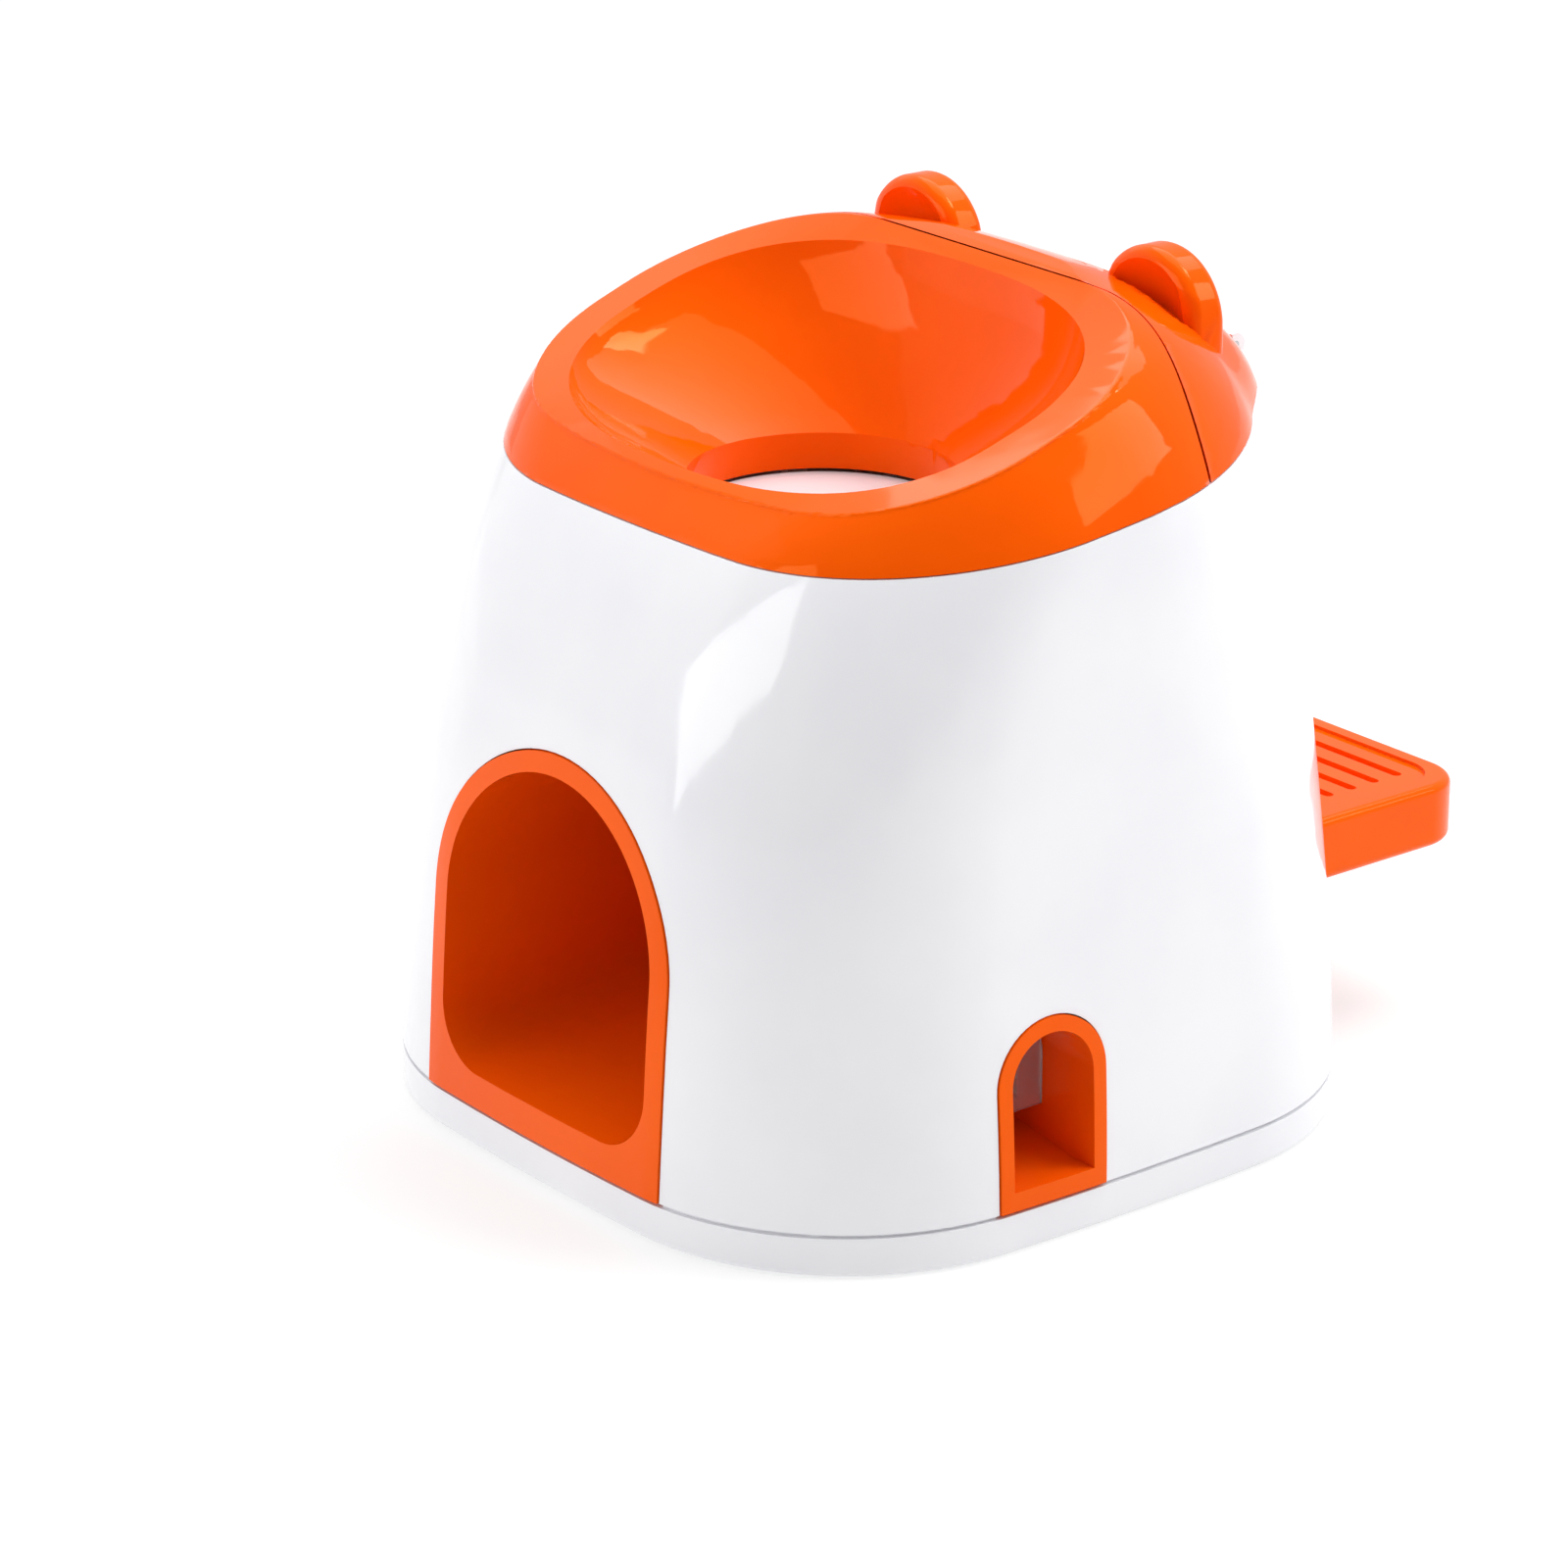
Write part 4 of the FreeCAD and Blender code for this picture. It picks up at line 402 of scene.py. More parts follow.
def looked_up(table, level, angle):
    """Value between a table's rows (level 0 to 2) and columns (angle)."""
    row = np.clip(level, 0, 2) * LEVEL_STEPS
    low = np.minimum(row.astype(int), 2 * LEVEL_STEPS - 1)
    column = angle / (2 * math.pi) * ANGLE_STEPS
    left = column.astype(int) % ANGLE_STEPS
    right = (left + 1) % ANGLE_STEPS
    up, over = row - low, column - np.floor(column)
    return ((table[low, left] * (1 - over) + table[low, right] * over) * (1 - up)
            + (table[low + 1, left] * (1 - over) + table[low + 1, right] * over) * up)


SOLID_TABLE, WORN_TABLE, STILL_TABLE = outline_tables()


def seam_and_cap(y):
    """Height of the seam plane, and of the rim plane over it."""
    return SEAM_Z + SEAM_SLOPE * y, RIM_Z - SEAM_Z + (RIM_SLOPE - SEAM_SLOPE) * y


def level_of(points):
    """0 at the foot, 1 at the seam plane, 2 at the rim plane."""
    z = points[:, 2]
    seam, cap = seam_and_cap(points[:, 1])
    return np.where(z < seam, (z - FOOT_HEIGHT) / (seam - FOOT_HEIGHT), 1 + (z - seam) / cap)


def drawn_in(points):
    """Move points in millimetres from the solids' outline to the worn one."""
    reach, angle = polar(points)
    level = level_of(points)
    outer, inner = looked_up(SOLID_TABLE, level, angle), looked_up(STILL_TABLE, level, angle)
    from_rear = np.abs(angle - math.pi / 2)
    share = eased((from_rear - HINGE_HALF_ANGLE) / (FULL_ANGLE - HINGE_HALF_ANGLE))
    share = share * np.clip((reach - inner) / (outer - inner), 0, 1)
    moved = reach + share * (looked_up(WORN_TABLE, level, angle) - outer)
    scale = moved / np.maximum(reach, ON_AXIS)
    return np.stack([points[:, 0] * scale, points[:, 1] * scale, points[:, 2]], 1)


# ---------------------------------------------------------------- ears
EAR_X = 48.0
SOLID_EAR = {"y": 61.5, "z": 217.0, "radius": 22.5, "thick": 14.0}
WORN_EAR = {"y": 59.3, "z": 217.7, "radius": 19.8, "thick": 11.5}
EAR_SLACK = 0.2                                     # round an ear's box, so that all its points are in it
EAR_SUNK = 0.8                                      # points this far under the lid still count as ear
EAR_FOOT = 5.0                                      # height over which an ear's new size sets in
CAP_STEPS = 60                                      # levels of the cap that a height is read from


def height_on_cap(points, table):
    """Height of a form's cap over points in plan."""
    reach, angle = polar(points)
    steps = np.linspace(1, 2, CAP_STEPS)
    radii = np.stack([looked_up(table, np.full(len(points), level), angle) for level in steps])
    levels = np.array([np.interp(-near, -column, steps) for near, column in zip(reach, radii.T)])
    seam, cap = seam_and_cap(points[:, 1])
    return seam + (levels - 1) * cap


def ears_refitted(before, after):
    """Scale the ears about their own centres and stand them on the lid's new surface."""
    side = np.sign(before[:, 0])
    across = np.abs(before[:, 0] - side * EAR_X) < SOLID_EAR["radius"] + EAR_SLACK
    along = np.abs(before[:, 1] - SOLID_EAR["y"]) < SOLID_EAR["thick"] / 2 + EAR_SLACK
    proud = before[:, 2] - height_on_cap(before, SOLID_TABLE)
    ear = (across & along & (proud > -EAR_SUNK))[:, None]
    grow = WORN_EAR["radius"] / SOLID_EAR["radius"]
    behind = (before[:, 1] - SOLID_EAR["y"]) * WORN_EAR["thick"] / SOLID_EAR["thick"]
    placed = np.stack([side * EAR_X + (before[:, 0] - side * EAR_X) * grow, WORN_EAR["y"] + behind,
                       WORN_EAR["z"] + (before[:, 2] - SOLID_EAR["z"]) * grow], 1)
    placed[:, 2] = blend(height_on_cap(placed, WORN_TABLE) + proud, placed[:, 2], eased(proud / EAR_FOOT))
    return np.where(ear, placed, after)


# ---------------------------------------------------------------- gate
GATE_AXIS_Y = -16.0
GATE_LOW = 163.9                                    # the gate's disc lies above this
GATE_OLD_REACH, GATE_NEW_REACH = 34.5, 37.6
GATE_KEPT_REACH = 26.0                              # the disc keeps its shape up to here
GATE_SLACK = 0.1                                    # so that the disc's edge counts as disc


def gate_widened(points):
    """Spread the gate's disc past the throat's edge, so that no gap shows from above."""
    x, y = points[:, 0], points[:, 1] - GATE_AXIS_Y
    reach = np.hypot(x, y)
    disc = (points[:, 2] > GATE_LOW) & (reach > GATE_KEPT_REACH) & (reach < GATE_OLD_REACH + GATE_SLACK)
    share = (reach - GATE_KEPT_REACH) / (GATE_OLD_REACH - GATE_KEPT_REACH)
    grow = np.where(disc, 1 + share * (GATE_NEW_REACH - GATE_OLD_REACH) / np.maximum(reach, 1), 1)
    return np.stack([x * grow, y * grow + GATE_AXIS_Y, points[:, 2]], 1)


# ---------------------------------------------------------------- meshes
REFITTED = ("body_shell", "funnel_cap", "rear_lid", "front_tunnel", "treat_spout", "treat_hopper", "lid_seal",
            "ball_gate")
MERGE_DISTANCE = 0.002                              # millimetres
FLAT_ANGLE = math.radians(0.4)                      # faces that turn by less are made one
EDGE_SEGMENTS = 2
SMOOTH_ANGLE = math.radians(32)


def refit(mesh, node):
    """Bring a mesh that was copied from a solid to the worn outline."""
    flat = np.empty(len(mesh.vertices) * 3)
    mesh.vertices.foreach_get("co", flat)
    before = flat.reshape(-1, 3) / MM
    after = gate_widened(before) if node == "ball_gate" else drawn_in(before)
    if node == "rear_lid":
        after = ears_refitted(before, after)
    low, high = np.array(CAD_BOX) / MM
    after = np.clip(after, low, high)
    mesh.vertices.foreach_set("co", (after * MM).ravel())
    mesh.update()


def applied(piece):
    """Turn a piece with modifiers into a plain mesh."""
    bpy.context.view_layer.update()
    graph = bpy.context.evaluated_depsgraph_get()
    mesh = bpy.data.meshes.new_from_object(piece.evaluated_get(graph))
    piece.modifiers.clear()
    piece.data = mesh
    return piece


def body_of_node(node):
    """Name of the moving body, or of the housing, that a node belongs to."""
    return next(name for name, members in frame["record"]["behaviour"]["bodies"].items() if node in members)


def stand_in(piece, node, angle):
    """Sharpen a mesh's corners above an angle and let it take the place of a CAD node."""
    piece.data.set_sharp_from_angle(angle=angle)
    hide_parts(node)
    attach(piece, body_of_node(node))
    return piece


def softened(node, edge_mm, angle):
    """Stand-in for a moulded node with its sharp edges rounded and its surfaces shaded smooth."""
    piece = bpy.data.objects.new(node + "_moulded", frame["nodes"][node].data.copy())
    bpy.context.scene.collection.objects.link(piece)
    if node in REFITTED:
        refit(piece.data, node)
    shape = bmesh.new()
    shape.from_mesh(piece.data)
    bmesh.ops.remove_doubles(shape, verts=shape.verts, dist=MERGE_DISTANCE * MM)
    bmesh.ops.dissolve_limit(shape, angle_limit=FLAT_ANGLE, verts=shape.verts, edges=shape.edges,
                             delimit={"NORMAL"})
    shape.to_mesh(piece.data)
    shape.free()
    for polygon in piece.data.polygons:
        polygon.use_smooth = True
    if edge_mm > 0:
        bevel = piece.modifiers.new("moulded edge", "BEVEL")
        bevel.width = edge_mm * MM
        bevel.segments = EDGE_SEGMENTS
        bevel.limit_method = "ANGLE"
        bevel.angle_limit = angle
        bevel.miter_outer = "MITER_ARC"
    weighted = piece.modifiers.new("even shading", "WEIGHTED_NORMAL")
    weighted.keep_sharp = True
    applied(piece)
    paint(piece, SLOT_OF[node])
    return stand_in(piece, node, angle)


# ---------------------------------------------------------------- turned blanks and node trees
def turned(name, outline, sides=40):
    """Mesh object turned about Z from (radius, height) pairs in millimetres, from axis to axis."""
    shape = bmesh.new()
    rings = []
    for radius, height in outline:
        count = sides if radius else 1
        rings.append([shape.verts.new((radius * MM * math.cos(2 * math.pi * step / sides),
                                       radius * MM * math.sin(2 * math.pi * step / sides), height * MM))
                      for step in range(count)])
    for near, far in zip(rings, rings[1:]):
        for step in range(sides):
            corners = [ring[place % len(ring)] for ring, place in
                       ((near, step), (near, step + 1), (far, step + 1), (far, step))]
            shape.faces.new(list(dict.fromkeys(corners)))
    bmesh.ops.recalc_face_normals(shape, faces=shape.faces)
    mesh = bpy.data.meshes.new(name)
    shape.to_mesh(mesh)
    shape.free()
    return bpy.data.objects.new(name, mesh)


SCREW_RADIUS, HEAD_RADIUS = 1.5, 3.0
THREAD_PITCH, THREAD_DEPTH = 1.4, 0.35
HEAD_ROUNDING, ROUNDING_STEPS = 0.9, 5


def screw_blank(name, shank, head):
    """Thread-forming screw with its thread drawn as rings: head above the origin's plane, shank below it."""
    root = SCREW_RADIUS - THREAD_DEPTH
    outline = [(0, -shank), (SCREW_RADIUS - 3 * THREAD_DEPTH, -shank)]
    height = -shank + THREAD_PITCH
    while height < -THREAD_PITCH:
        outline += [(root, height - THREAD_PITCH / 2), (SCREW_RADIUS, height)]
        height += THREAD_PITCH
    rounding = min(head * 0.6, HEAD_ROUNDING)
    outline += [(root, -THREAD_PITCH / 2), (root, 0), (HEAD_RADIUS, 0)]
    for step in range(ROUNDING_STEPS + 1):
        turn = math.pi / 2 * step / ROUNDING_STEPS
        inwards, down = rounding * (1 - math.cos(turn)), rounding * (1 - math.sin(turn))
        outline.append((HEAD_RADIUS - inwards, head - down))
    return turned(name, outline + [(0, head)])


def new_tree(name, sockets):
    """Geometry node tree with named inputs, given as (name, kind, default), and one geometry output."""
    tree = bpy.data.node_groups.new(name, "GeometryNodeTree")
    for label, kind, default in sockets:
        made = tree.interface.new_socket(label, in_out="INPUT", socket_type="NodeSocket" + kind)
        if default is not None:
            made.default_value = default
    tree.interface.new_socket("Geometry", in_out="OUTPUT", socket_type="NodeSocketGeometry")
    return tree, add(tree, "NodeGroupInput").outputs, add(tree, "NodeGroupOutput")


def finished(tree, given, output, geometry):
    """End a tree with real geometry in the given finish."""
    real = add(tree, "GeometryNodeRealizeInstances", links={"Geometry": geometry})
    coloured = add(tree, "GeometryNodeSetMaterial",
                   links={"Geometry": real.outputs[0], "Material": given["Finish"]})
    tree.links.new(coloured.outputs[0], output.inputs[0])


def value_of(tree, operation, *terms):
    """Math node on sockets or numbers."""
    made = add(tree, "ShaderNodeMath", settings={"operation": operation})
    for place, term in enumerate(terms):
        if isinstance(term, (int, float)):
            made.inputs[place].default_value = term
        else:
            tree.links.new(term, made.inputs[place])
    return made.outputs[0]


def vector_of(tree, parts):
    """Vector from sockets, given by axis number."""
    return add(tree, "ShaderNodeCombineXYZ", links=parts).outputs[0]


def cross_recessed(tree, given, blank):
    """Sink two crossed bars into the top of a screw's head."""
    deep = value_of(tree, "MULTIPLY", given["Recess depth"], 2.0)
    top = vector_of(tree, {2: given["Head height"]})
    for along, across in (("Recess length", "Recess width"), ("Recess width", "Recess length")):
        size = vector_of(tree, {0: given[along], 1: given[across], 2: deep})
        bar = add(tree, "GeometryNodeMeshCube", links={"Size": size}).outputs["Mesh"]
        raised = add(tree, "GeometryNodeTransform", links={"Geometry": bar, "Translation": top}).outputs[0]
        cut = add(tree, "GeometryNodeMeshBoolean", settings={"operation": "DIFFERENCE", "solver": "EXACT"},
                  links={"Mesh 1": blank, "Mesh 2": raised})
        blank = cut.outputs["Mesh"]
    return blank


def set_out_tree(name, recessed):
    """Set copies of a blank on points, all facing one way, each turned by chance about its own axis."""
    sockets = [("Geometry", "Geometry", None), ("Blank", "Object", None),
               ("Facing", "Vector", (0.0, 0.0, 0.0)), ("Seed", "Int", 7), ("Finish", "Material", None)]
    if recessed:
        sockets += [("Head height", "Float", 0.002), ("Recess length", "Float", 0.0032),
                    ("Recess width", "Float", 0.0007), ("Recess depth", "Float", 0.001)]
    tree, given, output = new_tree(name, sockets)
    blank = add(tree, "GeometryNodeObjectInfo", links={"Object": given["Blank"]}).outputs["Geometry"]
    if recessed:
        blank = cross_recessed(tree, given, blank)
    chance = add(tree, "FunctionNodeRandomValue", settings={"data_type": "FLOAT"},
                 links={"Seed": given["Seed"]})
    low, high = [socket for socket in chance.inputs if socket.enabled and socket.name in ("Min", "Max")]
    low.default_value, high.default_value = 0.0, 2 * math.pi
    turn = next(socket for socket in chance.outputs if socket.enabled)
    spin = add(tree, "FunctionNodeEulerToRotation", links={0: vector_of(tree, {2: turn})}).outputs[0]
    face = add(tree, "FunctionNodeEulerToRotation", links={0: given["Facing"]}).outputs[0]
    both = add(tree, "FunctionNodeRotateRotation", settings={"rotation_space": "LOCAL"},
               links={0: face, 1: spin})
    copies = add(tree, "GeometryNodeInstanceOnPoints",
                 links={"Points": given["Geometry"], "Instance": blank, "Rotation": both.outputs[0]})
    finished(tree, given, output, copies.outputs[0])
    return tree


def climb(tree, along, height, span):
    """Height gained while the share along a curve goes through a span, which is given as sockets."""
    return add(tree, "ShaderNodeMapRange", links={"Value": along, "To Max": height, **span}).outputs[0]


def spring_tree():
    """Compression spring of round wire: open coils between two closed end coils."""
    tree, given, output = new_tree("wound_spring", [
        ("Geometry", "Geometry", None), ("Coil radius", "Float", 0.0061), ("Wire radius", "Float", 0.0009),
        ("Height", "Float", 0.036), ("Turns", "Float", 7.0), ("Finish", "Material", None)])
    helix = add(tree, "GeometryNodeCurveSpiral", values={"Resolution": 28, "Height": 0.0},
                links={"Rotations": given["Turns"], "Start Radius": given["Coil radius"],
                       "End Radius": given["Coil radius"]}).outputs[0]
    along = add(tree, "GeometryNodeSplineParameter").outputs["Factor"]
    end = value_of(tree, "DIVIDE", 1.0, given["Turns"])
    wire = value_of(tree, "MULTIPLY", given["Wire radius"], 2.0)
    rest = value_of(tree, "SUBTRACT", 1.0, end)
    # each end coil rises by one wire, and the wire's middle starts and ends half a wire inside the height
    free = value_of(tree, "SUBTRACT", given["Height"], value_of(tree, "MULTIPLY", given["Wire radius"], 6.0))
    first = climb(tree, along, wire, {"From Max": end})
    middle = climb(tree, along, free, {"From Min": end, "From Max": rest})
    last = climb(tree, along, wire, {"From Min": rest})
    height = value_of(tree, "ADD", value_of(tree, "ADD", first, last),
                      value_of(tree, "ADD", middle, given["Wire radius"]))
    wound = add(tree, "GeometryNodeSetPosition",
                links={"Geometry": helix, "Offset": vector_of(tree, {2: height})}).outputs[0]
    section = add(tree, "GeometryNodeCurvePrimitiveCircle", values={"Resolution": 14},
                  links={"Radius": given["Wire radius"]}).outputs["Curve"]
    coil = add(tree, "GeometryNodeCurveToMesh", values={"Fill Caps": True},
               links={"Curve": wound, "Profile Curve": section}).outputs[0]
    finished(tree, given, output, coil)
    return tree


def grown(name, node, tree, points, settings):
    """Plain mesh from a node tree on points in millimetres, standing for a CAD node."""
    mesh = bpy.data.meshes.new(name)
    mesh.from_pydata([[value * MM for value in point] for point in points], [], [])
    piece = bpy.data.objects.new(name, mesh)
    bpy.context.scene.collection.objects.link(piece)
    grower = piece.modifiers.new(tree.name, "NODES")
    grower.node_group = tree
    labels = {item.name: item.identifier for item in tree.interface.items_tree if item.in_out == "INPUT"}
    for label, value in {**settings, "Finish": finish_for(SLOT_OF[node])}.items():
        grower[labels[label]] = value
    applied(piece)
    for polygon in piece.data.polygons:
        polygon.use_smooth = True
    return stand_in(piece, node, SMOOTH_ANGLE)


# ---------------------------------------------------------------- settings
class DispenserEdges(bpy.types.PropertyGroup):
    """Edge sizes of the moulded pieces."""
    casing: bpy.props.FloatProperty(name="Casing edge", default=0.6, min=0.0, max=2.0,
                                    description="Rounding of the casing's edges, in millimetres")
    liner: bpy.props.FloatProperty(name="Liner edge", default=0.5, min=0.0, max=2.0,
                                   description="Rounding of the orange pieces' edges, in millimetres")
    inner: bpy.props.FloatProperty(name="Inner edge", default=0.2, min=0.0, max=2.0,
                                   description="Rounding of the hopper's and seal's edges, in millimetres")
    flap: bpy.props.FloatProperty(name="Flap edge", default=0.25, min=0.0, max=2.0,
                                  description="Rounding of the clear flap's edges, in millimetres")
    angle: bpy.props.FloatProperty(name="Sharpest smooth angle", default=SMOOTH_ANGLE, subtype="ANGLE",
                                   description="Corners above this are rounded")


class DispenserStudio(bpy.types.PropertyGroup):
    """Camera and lamps."""
    turn: bpy.props.FloatProperty(name="Camera turn", default=math.radians(51.59), subtype="ANGLE",
                                  description="Camera's turn round the object from its front")
    rise: bpy.props.FloatProperty(name="Camera rise", default=math.radians(20.53), subtype="ANGLE",
                                  description="Camera's angle above the floor")
    away: bpy.props.FloatProperty(name="Camera distance", default=1.5, unit="LENGTH",
                                  description="From the point it looks at")
    lens: bpy.props.FloatProperty(name="Lens", default=124.45,
                                  description="Focal length in millimetres on a 36 mm sensor")
    target: bpy.props.FloatVectorProperty(name="Aim", default=(-0.03646, 0.0, 0.07585), size=3,
                                          subtype="TRANSLATION", description="Point that the camera looks at")
    glow: bpy.props.FloatProperty(name="Room light", default=0.54, description="Strength of the white room")
    front_glow: bpy.props.FloatProperty(name="Open side light", default=0.30,
                                        description="Strength past the front corner")
    lamps: bpy.props.FloatProperty(name="Lamp strength", default=1.0,
                                   description="Multiplies the power of every lamp")


# ---------------------------------------------------------------- pieces
class DISPENSER_OT_casing(bpy.types.Operator):
    """White foot and casing, with the hopper and seal that hang in it"""
    bl_idname = "dispenser.casing"
    bl_label = "Casing and foot"

    def execute(self, context):
        edges = context.scene.dispenser_edges
        for node in ("body_shell", "base_plate"):
            softened(node, edges.casing, edges.angle)
        for node in ("treat_hopper", "lid_seal"):
            softened(node, edges.inner, edges.angle)
        return {"FINISHED"}


class DISPENSER_OT_orange_parts(bpy.types.Operator):
    """Cap with its bowl, rear lid, ball run and treat spout"""
    bl_idname = "dispenser.orange_parts"
    bl_label = "Cap, lid and liners"

    def execute(self, context):
        edges = context.scene.dispenser_edges
        for node in ("funnel_cap", "rear_lid", "front_tunnel", "treat_spout"):
            softened(node, edges.liner, edges.angle)
        return {"FINISHED"}


class DISPENSER_OT_pedal(bpy.types.Operator):
    """Foot pedal with its slotted tread"""
    bl_idname = "dispenser.pedal"
    bl_label = "Pedal"

    def execute(self, context):
        edges = context.scene.dispenser_edges
        softened("pedal", edges.liner, edges.angle)
        return {"FINISHED"}


class DISPENSER_OT_gate_and_flap(bpy.types.Operator):
    """Ball gate and treat flap"""
    bl_idname = "dispenser.gate_and_flap"
    bl_label = "Gate and flap"

    def execute(self, context):
        edges = context.scene.dispenser_edges
        softened("ball_gate", edges.liner, edges.angle)
        softened("treat_flap", edges.flap, edges.angle)
        return {"FINISHED"}


POST_PLACE = 86.76                                  # screw posts, from the middle both ways
SCREWS = {                                          # places are where the heads bear, lengths are the shanks'
    "base_screws": {
        "places": [(x, y, 3.2) for x in (-POST_PLACE, POST_PLACE) for y in (-POST_PLACE, POST_PLACE)],
        "length": 32.0, "head": 2.2, "facing": (math.pi, 0.0, 0.0), "recess": 1.1},
    "plate_screws": {
        "places": [(x, y, 6.0) for x in (-50.0, 50.0) for y in (42.0, 76.0)] + [(90.5, 56.0, 6.0)],
        "length": 5.0, "head": 1.5, "facing": (0.0, 0.0, 0.0), "recess": 0.8},
    "sector_screws": {
        "places": [(50.0, y, 57.0) for y in (70.0, 79.0)],
        "length": 13.0, "head": 0.4, "facing": (0.0, math.pi / 2, 0.0), "recess": 0.3},
}


class DISPENSER_OT_fasteners(bpy.types.Operator):
    """Cross-recessed screws, set out on their places"""
    bl_idname = "dispenser.fasteners"
    bl_label = "Screws"

    def execute(self, context):
        tree = set_out_tree("set_out_screws", recessed=True)
        for node, screw in SCREWS.items():
            blank = screw_blank(node + "_blank", screw["length"], screw["head"])
            grown(node + "_turned", node, tree, screw["places"], {
                "Blank": blank, "Facing": screw["facing"], "Head height": screw["head"] * MM,
                "Recess depth": screw["recess"] * MM})
        return {"FINISHED"}


PAD_PLACE = 68.0                                    # pads, from the middle both ways
PAD_RADIUS, PAD_THICK, PAD_EDGE, PAD_SIDES = 9.0, 1.6, 0.3, 56
RINGS = (2.0, 4.0, 6.0)                             # inner radius of each groove in a sole
GROOVE = ((0.0, 0.0), (0.3, 0.4), (0.9, 0.4), (1.2, 0.0))   # outwards from its inner radius, and up


class DISPENSER_OT_foot_pads(bpy.types.Operator):
    """Round rubber pads with rings moulded into their soles"""
    bl_idname = "dispenser.foot_pads"
    bl_label = "Foot pads"

    def execute(self, context):
        tree = set_out_tree("set_out_pads", recessed=False)
        outline = [(0, 0)] + [(ring + out, up) for ring in RINGS for out, up in GROOVE]
        outline += [(PAD_RADIUS - PAD_EDGE, 0), (PAD_RADIUS, PAD_EDGE)]
        outline += [(PAD_RADIUS, PAD_THICK), (0, PAD_THICK)]
        blank = turned("pad_blank", outline, PAD_SIDES)
        places = [(x, y, 0.0) for x in (-PAD_PLACE, PAD_PLACE) for y in (-PAD_PLACE, PAD_PLACE)]
        grown("rubber_pads_moulded", "rubber_pads", tree, places, {"Blank": blank})
        return {"FINISHED"}


class DISPENSER_OT_spring(bpy.types.Operator):
    """Pedal return spring, wound from round wire"""
    bl_idname = "dispenser.spring"
    bl_label = "Pedal spring"

    def execute(self, context):
        foot, top, y = 14.1, 50.9, 98.0
        wound = grown("pedal_spring_wound", "pedal_spring", spring_tree(), [(0, 0, 0)],
                      {"Height": (top - foot) * MM, "Turns": 7.0})
        wound.data.transform(Matrix.Translation((0.0, y * MM, foot * MM)))
        # a pedal pressed all the way leaves the spring 0.77 of its height
        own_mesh(wound)
        return {"FINISHED"}


class DISPENSER_OT_mechanism(bpy.types.Operator):
    """Finishes for all nodes, which show on those that keep their own shape"""
    bl_idname = "dispenser.mechanism"
    bl_label = "Mechanism finishes"

    def execute(self, context):
        for name, piece in frame["nodes"].items():
            paint(piece, SLOT_OF[name])
        return {"FINISHED"}


# ---------------------------------------------------------------- studio
FLOOR_HALF, FLOOR_DROP = 6.0, 0.0002                # metres, as are the lamps' sizes
SENSOR_MM, CAMERA_REACH = 36.0, 50.0
OPEN_SIDE = (0.78, -0.62, 0.05)
LAMP_AIM = Vector((0.0, 0.0, 0.12))
# direction, distance, width, height, watts, roll in degrees
LAMPS = {
    "overhead_panel": ((-0.14, 0.20, 0.97), 2.0, 2.2, 2.2, 34.0, 0),
    "top_window": ((0.25, 0.38, 0.89), 1.3, 0.34, 0.34, 4.0, 0),
    "back_window": ((0.62, 0.52, 0.54), 1.3, 0.60, 0.55, 5.2, 0),
    "front_panel": ((-0.30, -0.88, 0.26), 1.4, 1.0, 0.45, 4.6, 35),
    "left_panel": ((-0.75, 0.12, 0.64), 1.5, 1.0, 1.0, 1.4, 0),
    "side_panel": ((-0.85, -0.45, 0.25), 1.6, 1.6, 1.6, 2.6, 0),
}


def lamp(name, direction, distance, width, height, power, roll):
    """Soft box: a rectangular area light that faces the object from a direction."""
    data = bpy.data.lights.new(name, "AREA")
    data.shape = "RECTANGLE"
    data.size = width
    data.size_y = height
    data.energy = power
    made = bpy.data.objects.new(name, data)
    toward = Vector(direction).normalized()
    made.location = LAMP_AIM + toward * distance
    facing = (-toward).to_track_quat("-Z", "Y") @ Quaternion((0.0, 0.0, 1.0), math.radians(roll))
    made.rotation_euler = facing.to_euler()
    bpy.context.scene.collection.objects.link(made)


def white_room(glow, front_glow):
    """White walls all round, with less light from the open side of the room, past the front corner."""
    world = bpy.data.worlds.new("white_room")
    world.use_nodes = True
    tree = world.node_tree
    way = add(tree, "ShaderNodeTexCoord").outputs["Generated"]
    facing = add(tree, "ShaderNodeVectorMath", settings={"operation": "DOT_PRODUCT"}, values={1: OPEN_SIDE},
                 links={0: way})
    strength = add(tree, "ShaderNodeMapRange", settings={"interpolation_type": "SMOOTHSTEP"},
                   values={"From Min": 0.3, "From Max": 1.0, "To Min": glow, "To Max": front_glow},
                   links={"Value": facing.outputs["Value"]})
    tree.links.new(strength.outputs["Result"], tree.nodes["Background"].inputs["Strength"])
    tree.nodes["Background"].inputs["Color"].default_value = (1.0, 1.0, 1.0, 1.0)
    return world


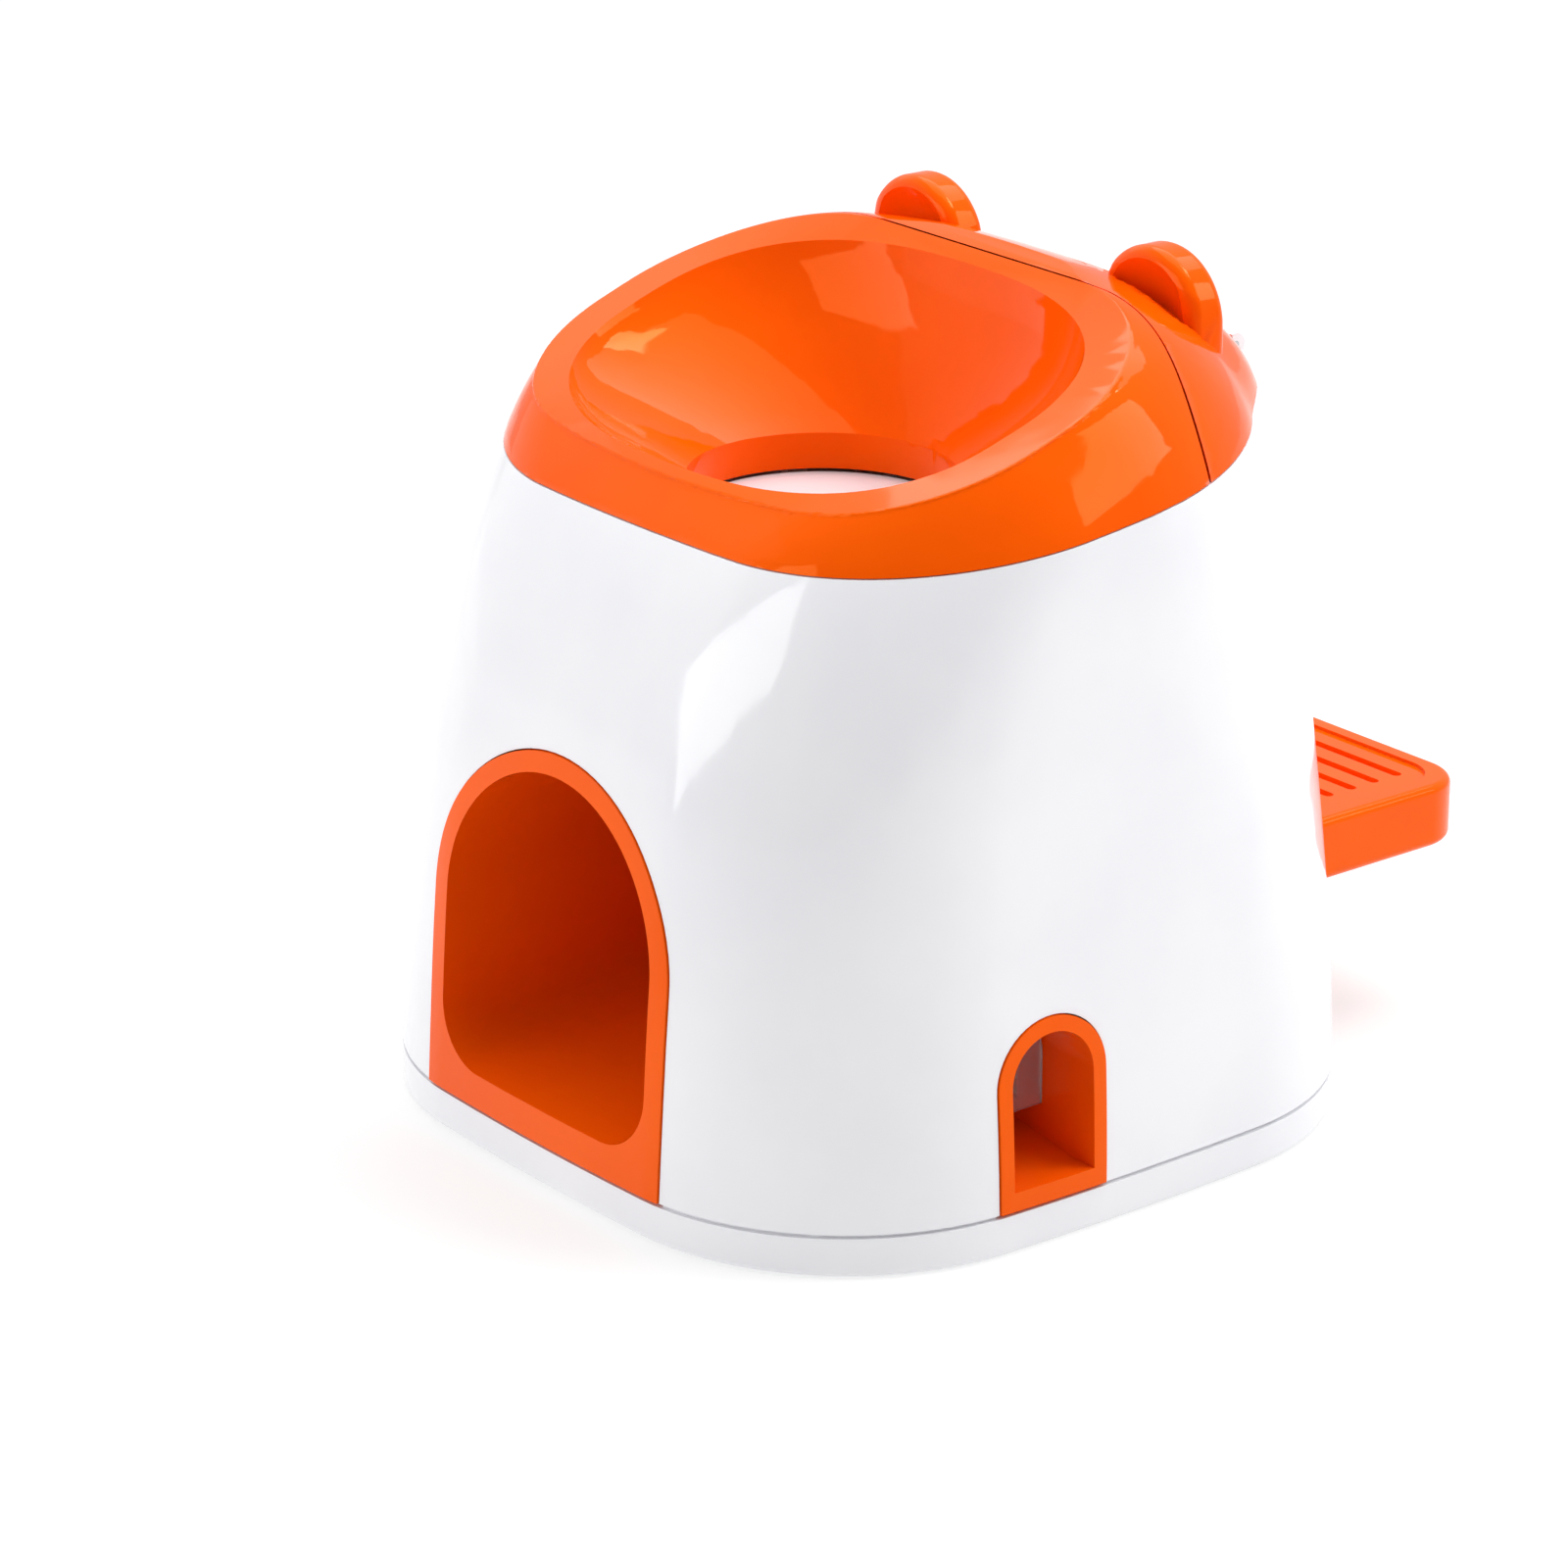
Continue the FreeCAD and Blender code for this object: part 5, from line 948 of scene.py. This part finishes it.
class DISPENSER_OT_stage(bpy.types.Operator):
    """Floor, lamps and camera"""
    bl_idname = "dispenser.stage"
    bl_label = "Studio"

    def execute(self, context):
        studio = context.scene.dispenser_studio
        mesh = bpy.data.meshes.new("paper_floor")
        corners = [(x * FLOOR_HALF, y * FLOOR_HALF, 0) for x, y in ((-1, -1), (1, -1), (1, 1), (-1, 1))]
        mesh.from_pydata(corners, [], [(0, 1, 2, 3)])
        floor = bpy.data.objects.new("paper_floor", mesh)
        floor.location.z = CAD_BOX[0][2] - FLOOR_DROP
        floor.data.materials.append(studio_paper())
        context.scene.collection.objects.link(floor)
        aim = Vector(studio.target)
        flat = math.cos(studio.rise)
        back = Vector((math.sin(studio.turn) * flat, -math.cos(studio.turn) * flat, math.sin(studio.rise)))
        data = bpy.data.cameras.new("camera")
        data.lens = studio.lens
        data.sensor_width = SENSOR_MM
        data.clip_end = CAMERA_REACH
        camera = bpy.data.objects.new("camera", data)
        camera.location = aim + back * studio.away
        camera.rotation_euler = (-back).to_track_quat("-Z", "Y").to_euler()
        context.scene.collection.objects.link(camera)
        context.scene.camera = camera
        context.scene.world = white_room(studio.glow, studio.front_glow)
        for name, (direction, distance, width, height, power, roll) in LAMPS.items():
            lamp(name, direction, distance, width, height, studio.lamps * power, roll)
        context.scene.view_settings.view_transform = "Standard"
        return {"FINISHED"}


STEPS = ("casing", "orange_parts", "pedal", "gate_and_flap", "fasteners", "foot_pads", "spring", "mechanism",
         "stage")


class DISPENSER_PT_panel(bpy.types.Panel):
    """Sidebar list of the pieces"""
    bl_idname = "DISPENSER_PT_panel"
    bl_label = "Ball and Treat Dispenser"
    bl_space_type = "VIEW_3D"
    bl_region_type = "UI"
    bl_category = "Dispenser"

    def draw(self, context):
        for group in (context.scene.dispenser_edges, context.scene.dispenser_studio):
            for name in group.bl_rna.properties.keys():
                if name not in ("rna_type", "name"):
                    self.layout.prop(group, name)
        for step in STEPS:
            self.layout.operator("dispenser." + step)


CLASSES = (DispenserEdges, DispenserStudio, DISPENSER_OT_casing, DISPENSER_OT_orange_parts,
           DISPENSER_OT_pedal, DISPENSER_OT_gate_and_flap, DISPENSER_OT_fasteners, DISPENSER_OT_foot_pads,
           DISPENSER_OT_spring, DISPENSER_OT_mechanism, DISPENSER_OT_stage, DISPENSER_PT_panel)


def register():
    for item in CLASSES:
        bpy.utils.register_class(item)
    bpy.types.Scene.dispenser_edges = bpy.props.PointerProperty(type=DispenserEdges)
    bpy.types.Scene.dispenser_studio = bpy.props.PointerProperty(type=DispenserStudio)


def unregister():
    del bpy.types.Scene.dispenser_studio
    del bpy.types.Scene.dispenser_edges
    for item in reversed(CLASSES):
        bpy.utils.unregister_class(item)


def main():
    register()
    for step in STEPS:
        getattr(bpy.ops.dispenser, step)()


if __name__ == "__main__":
    main()
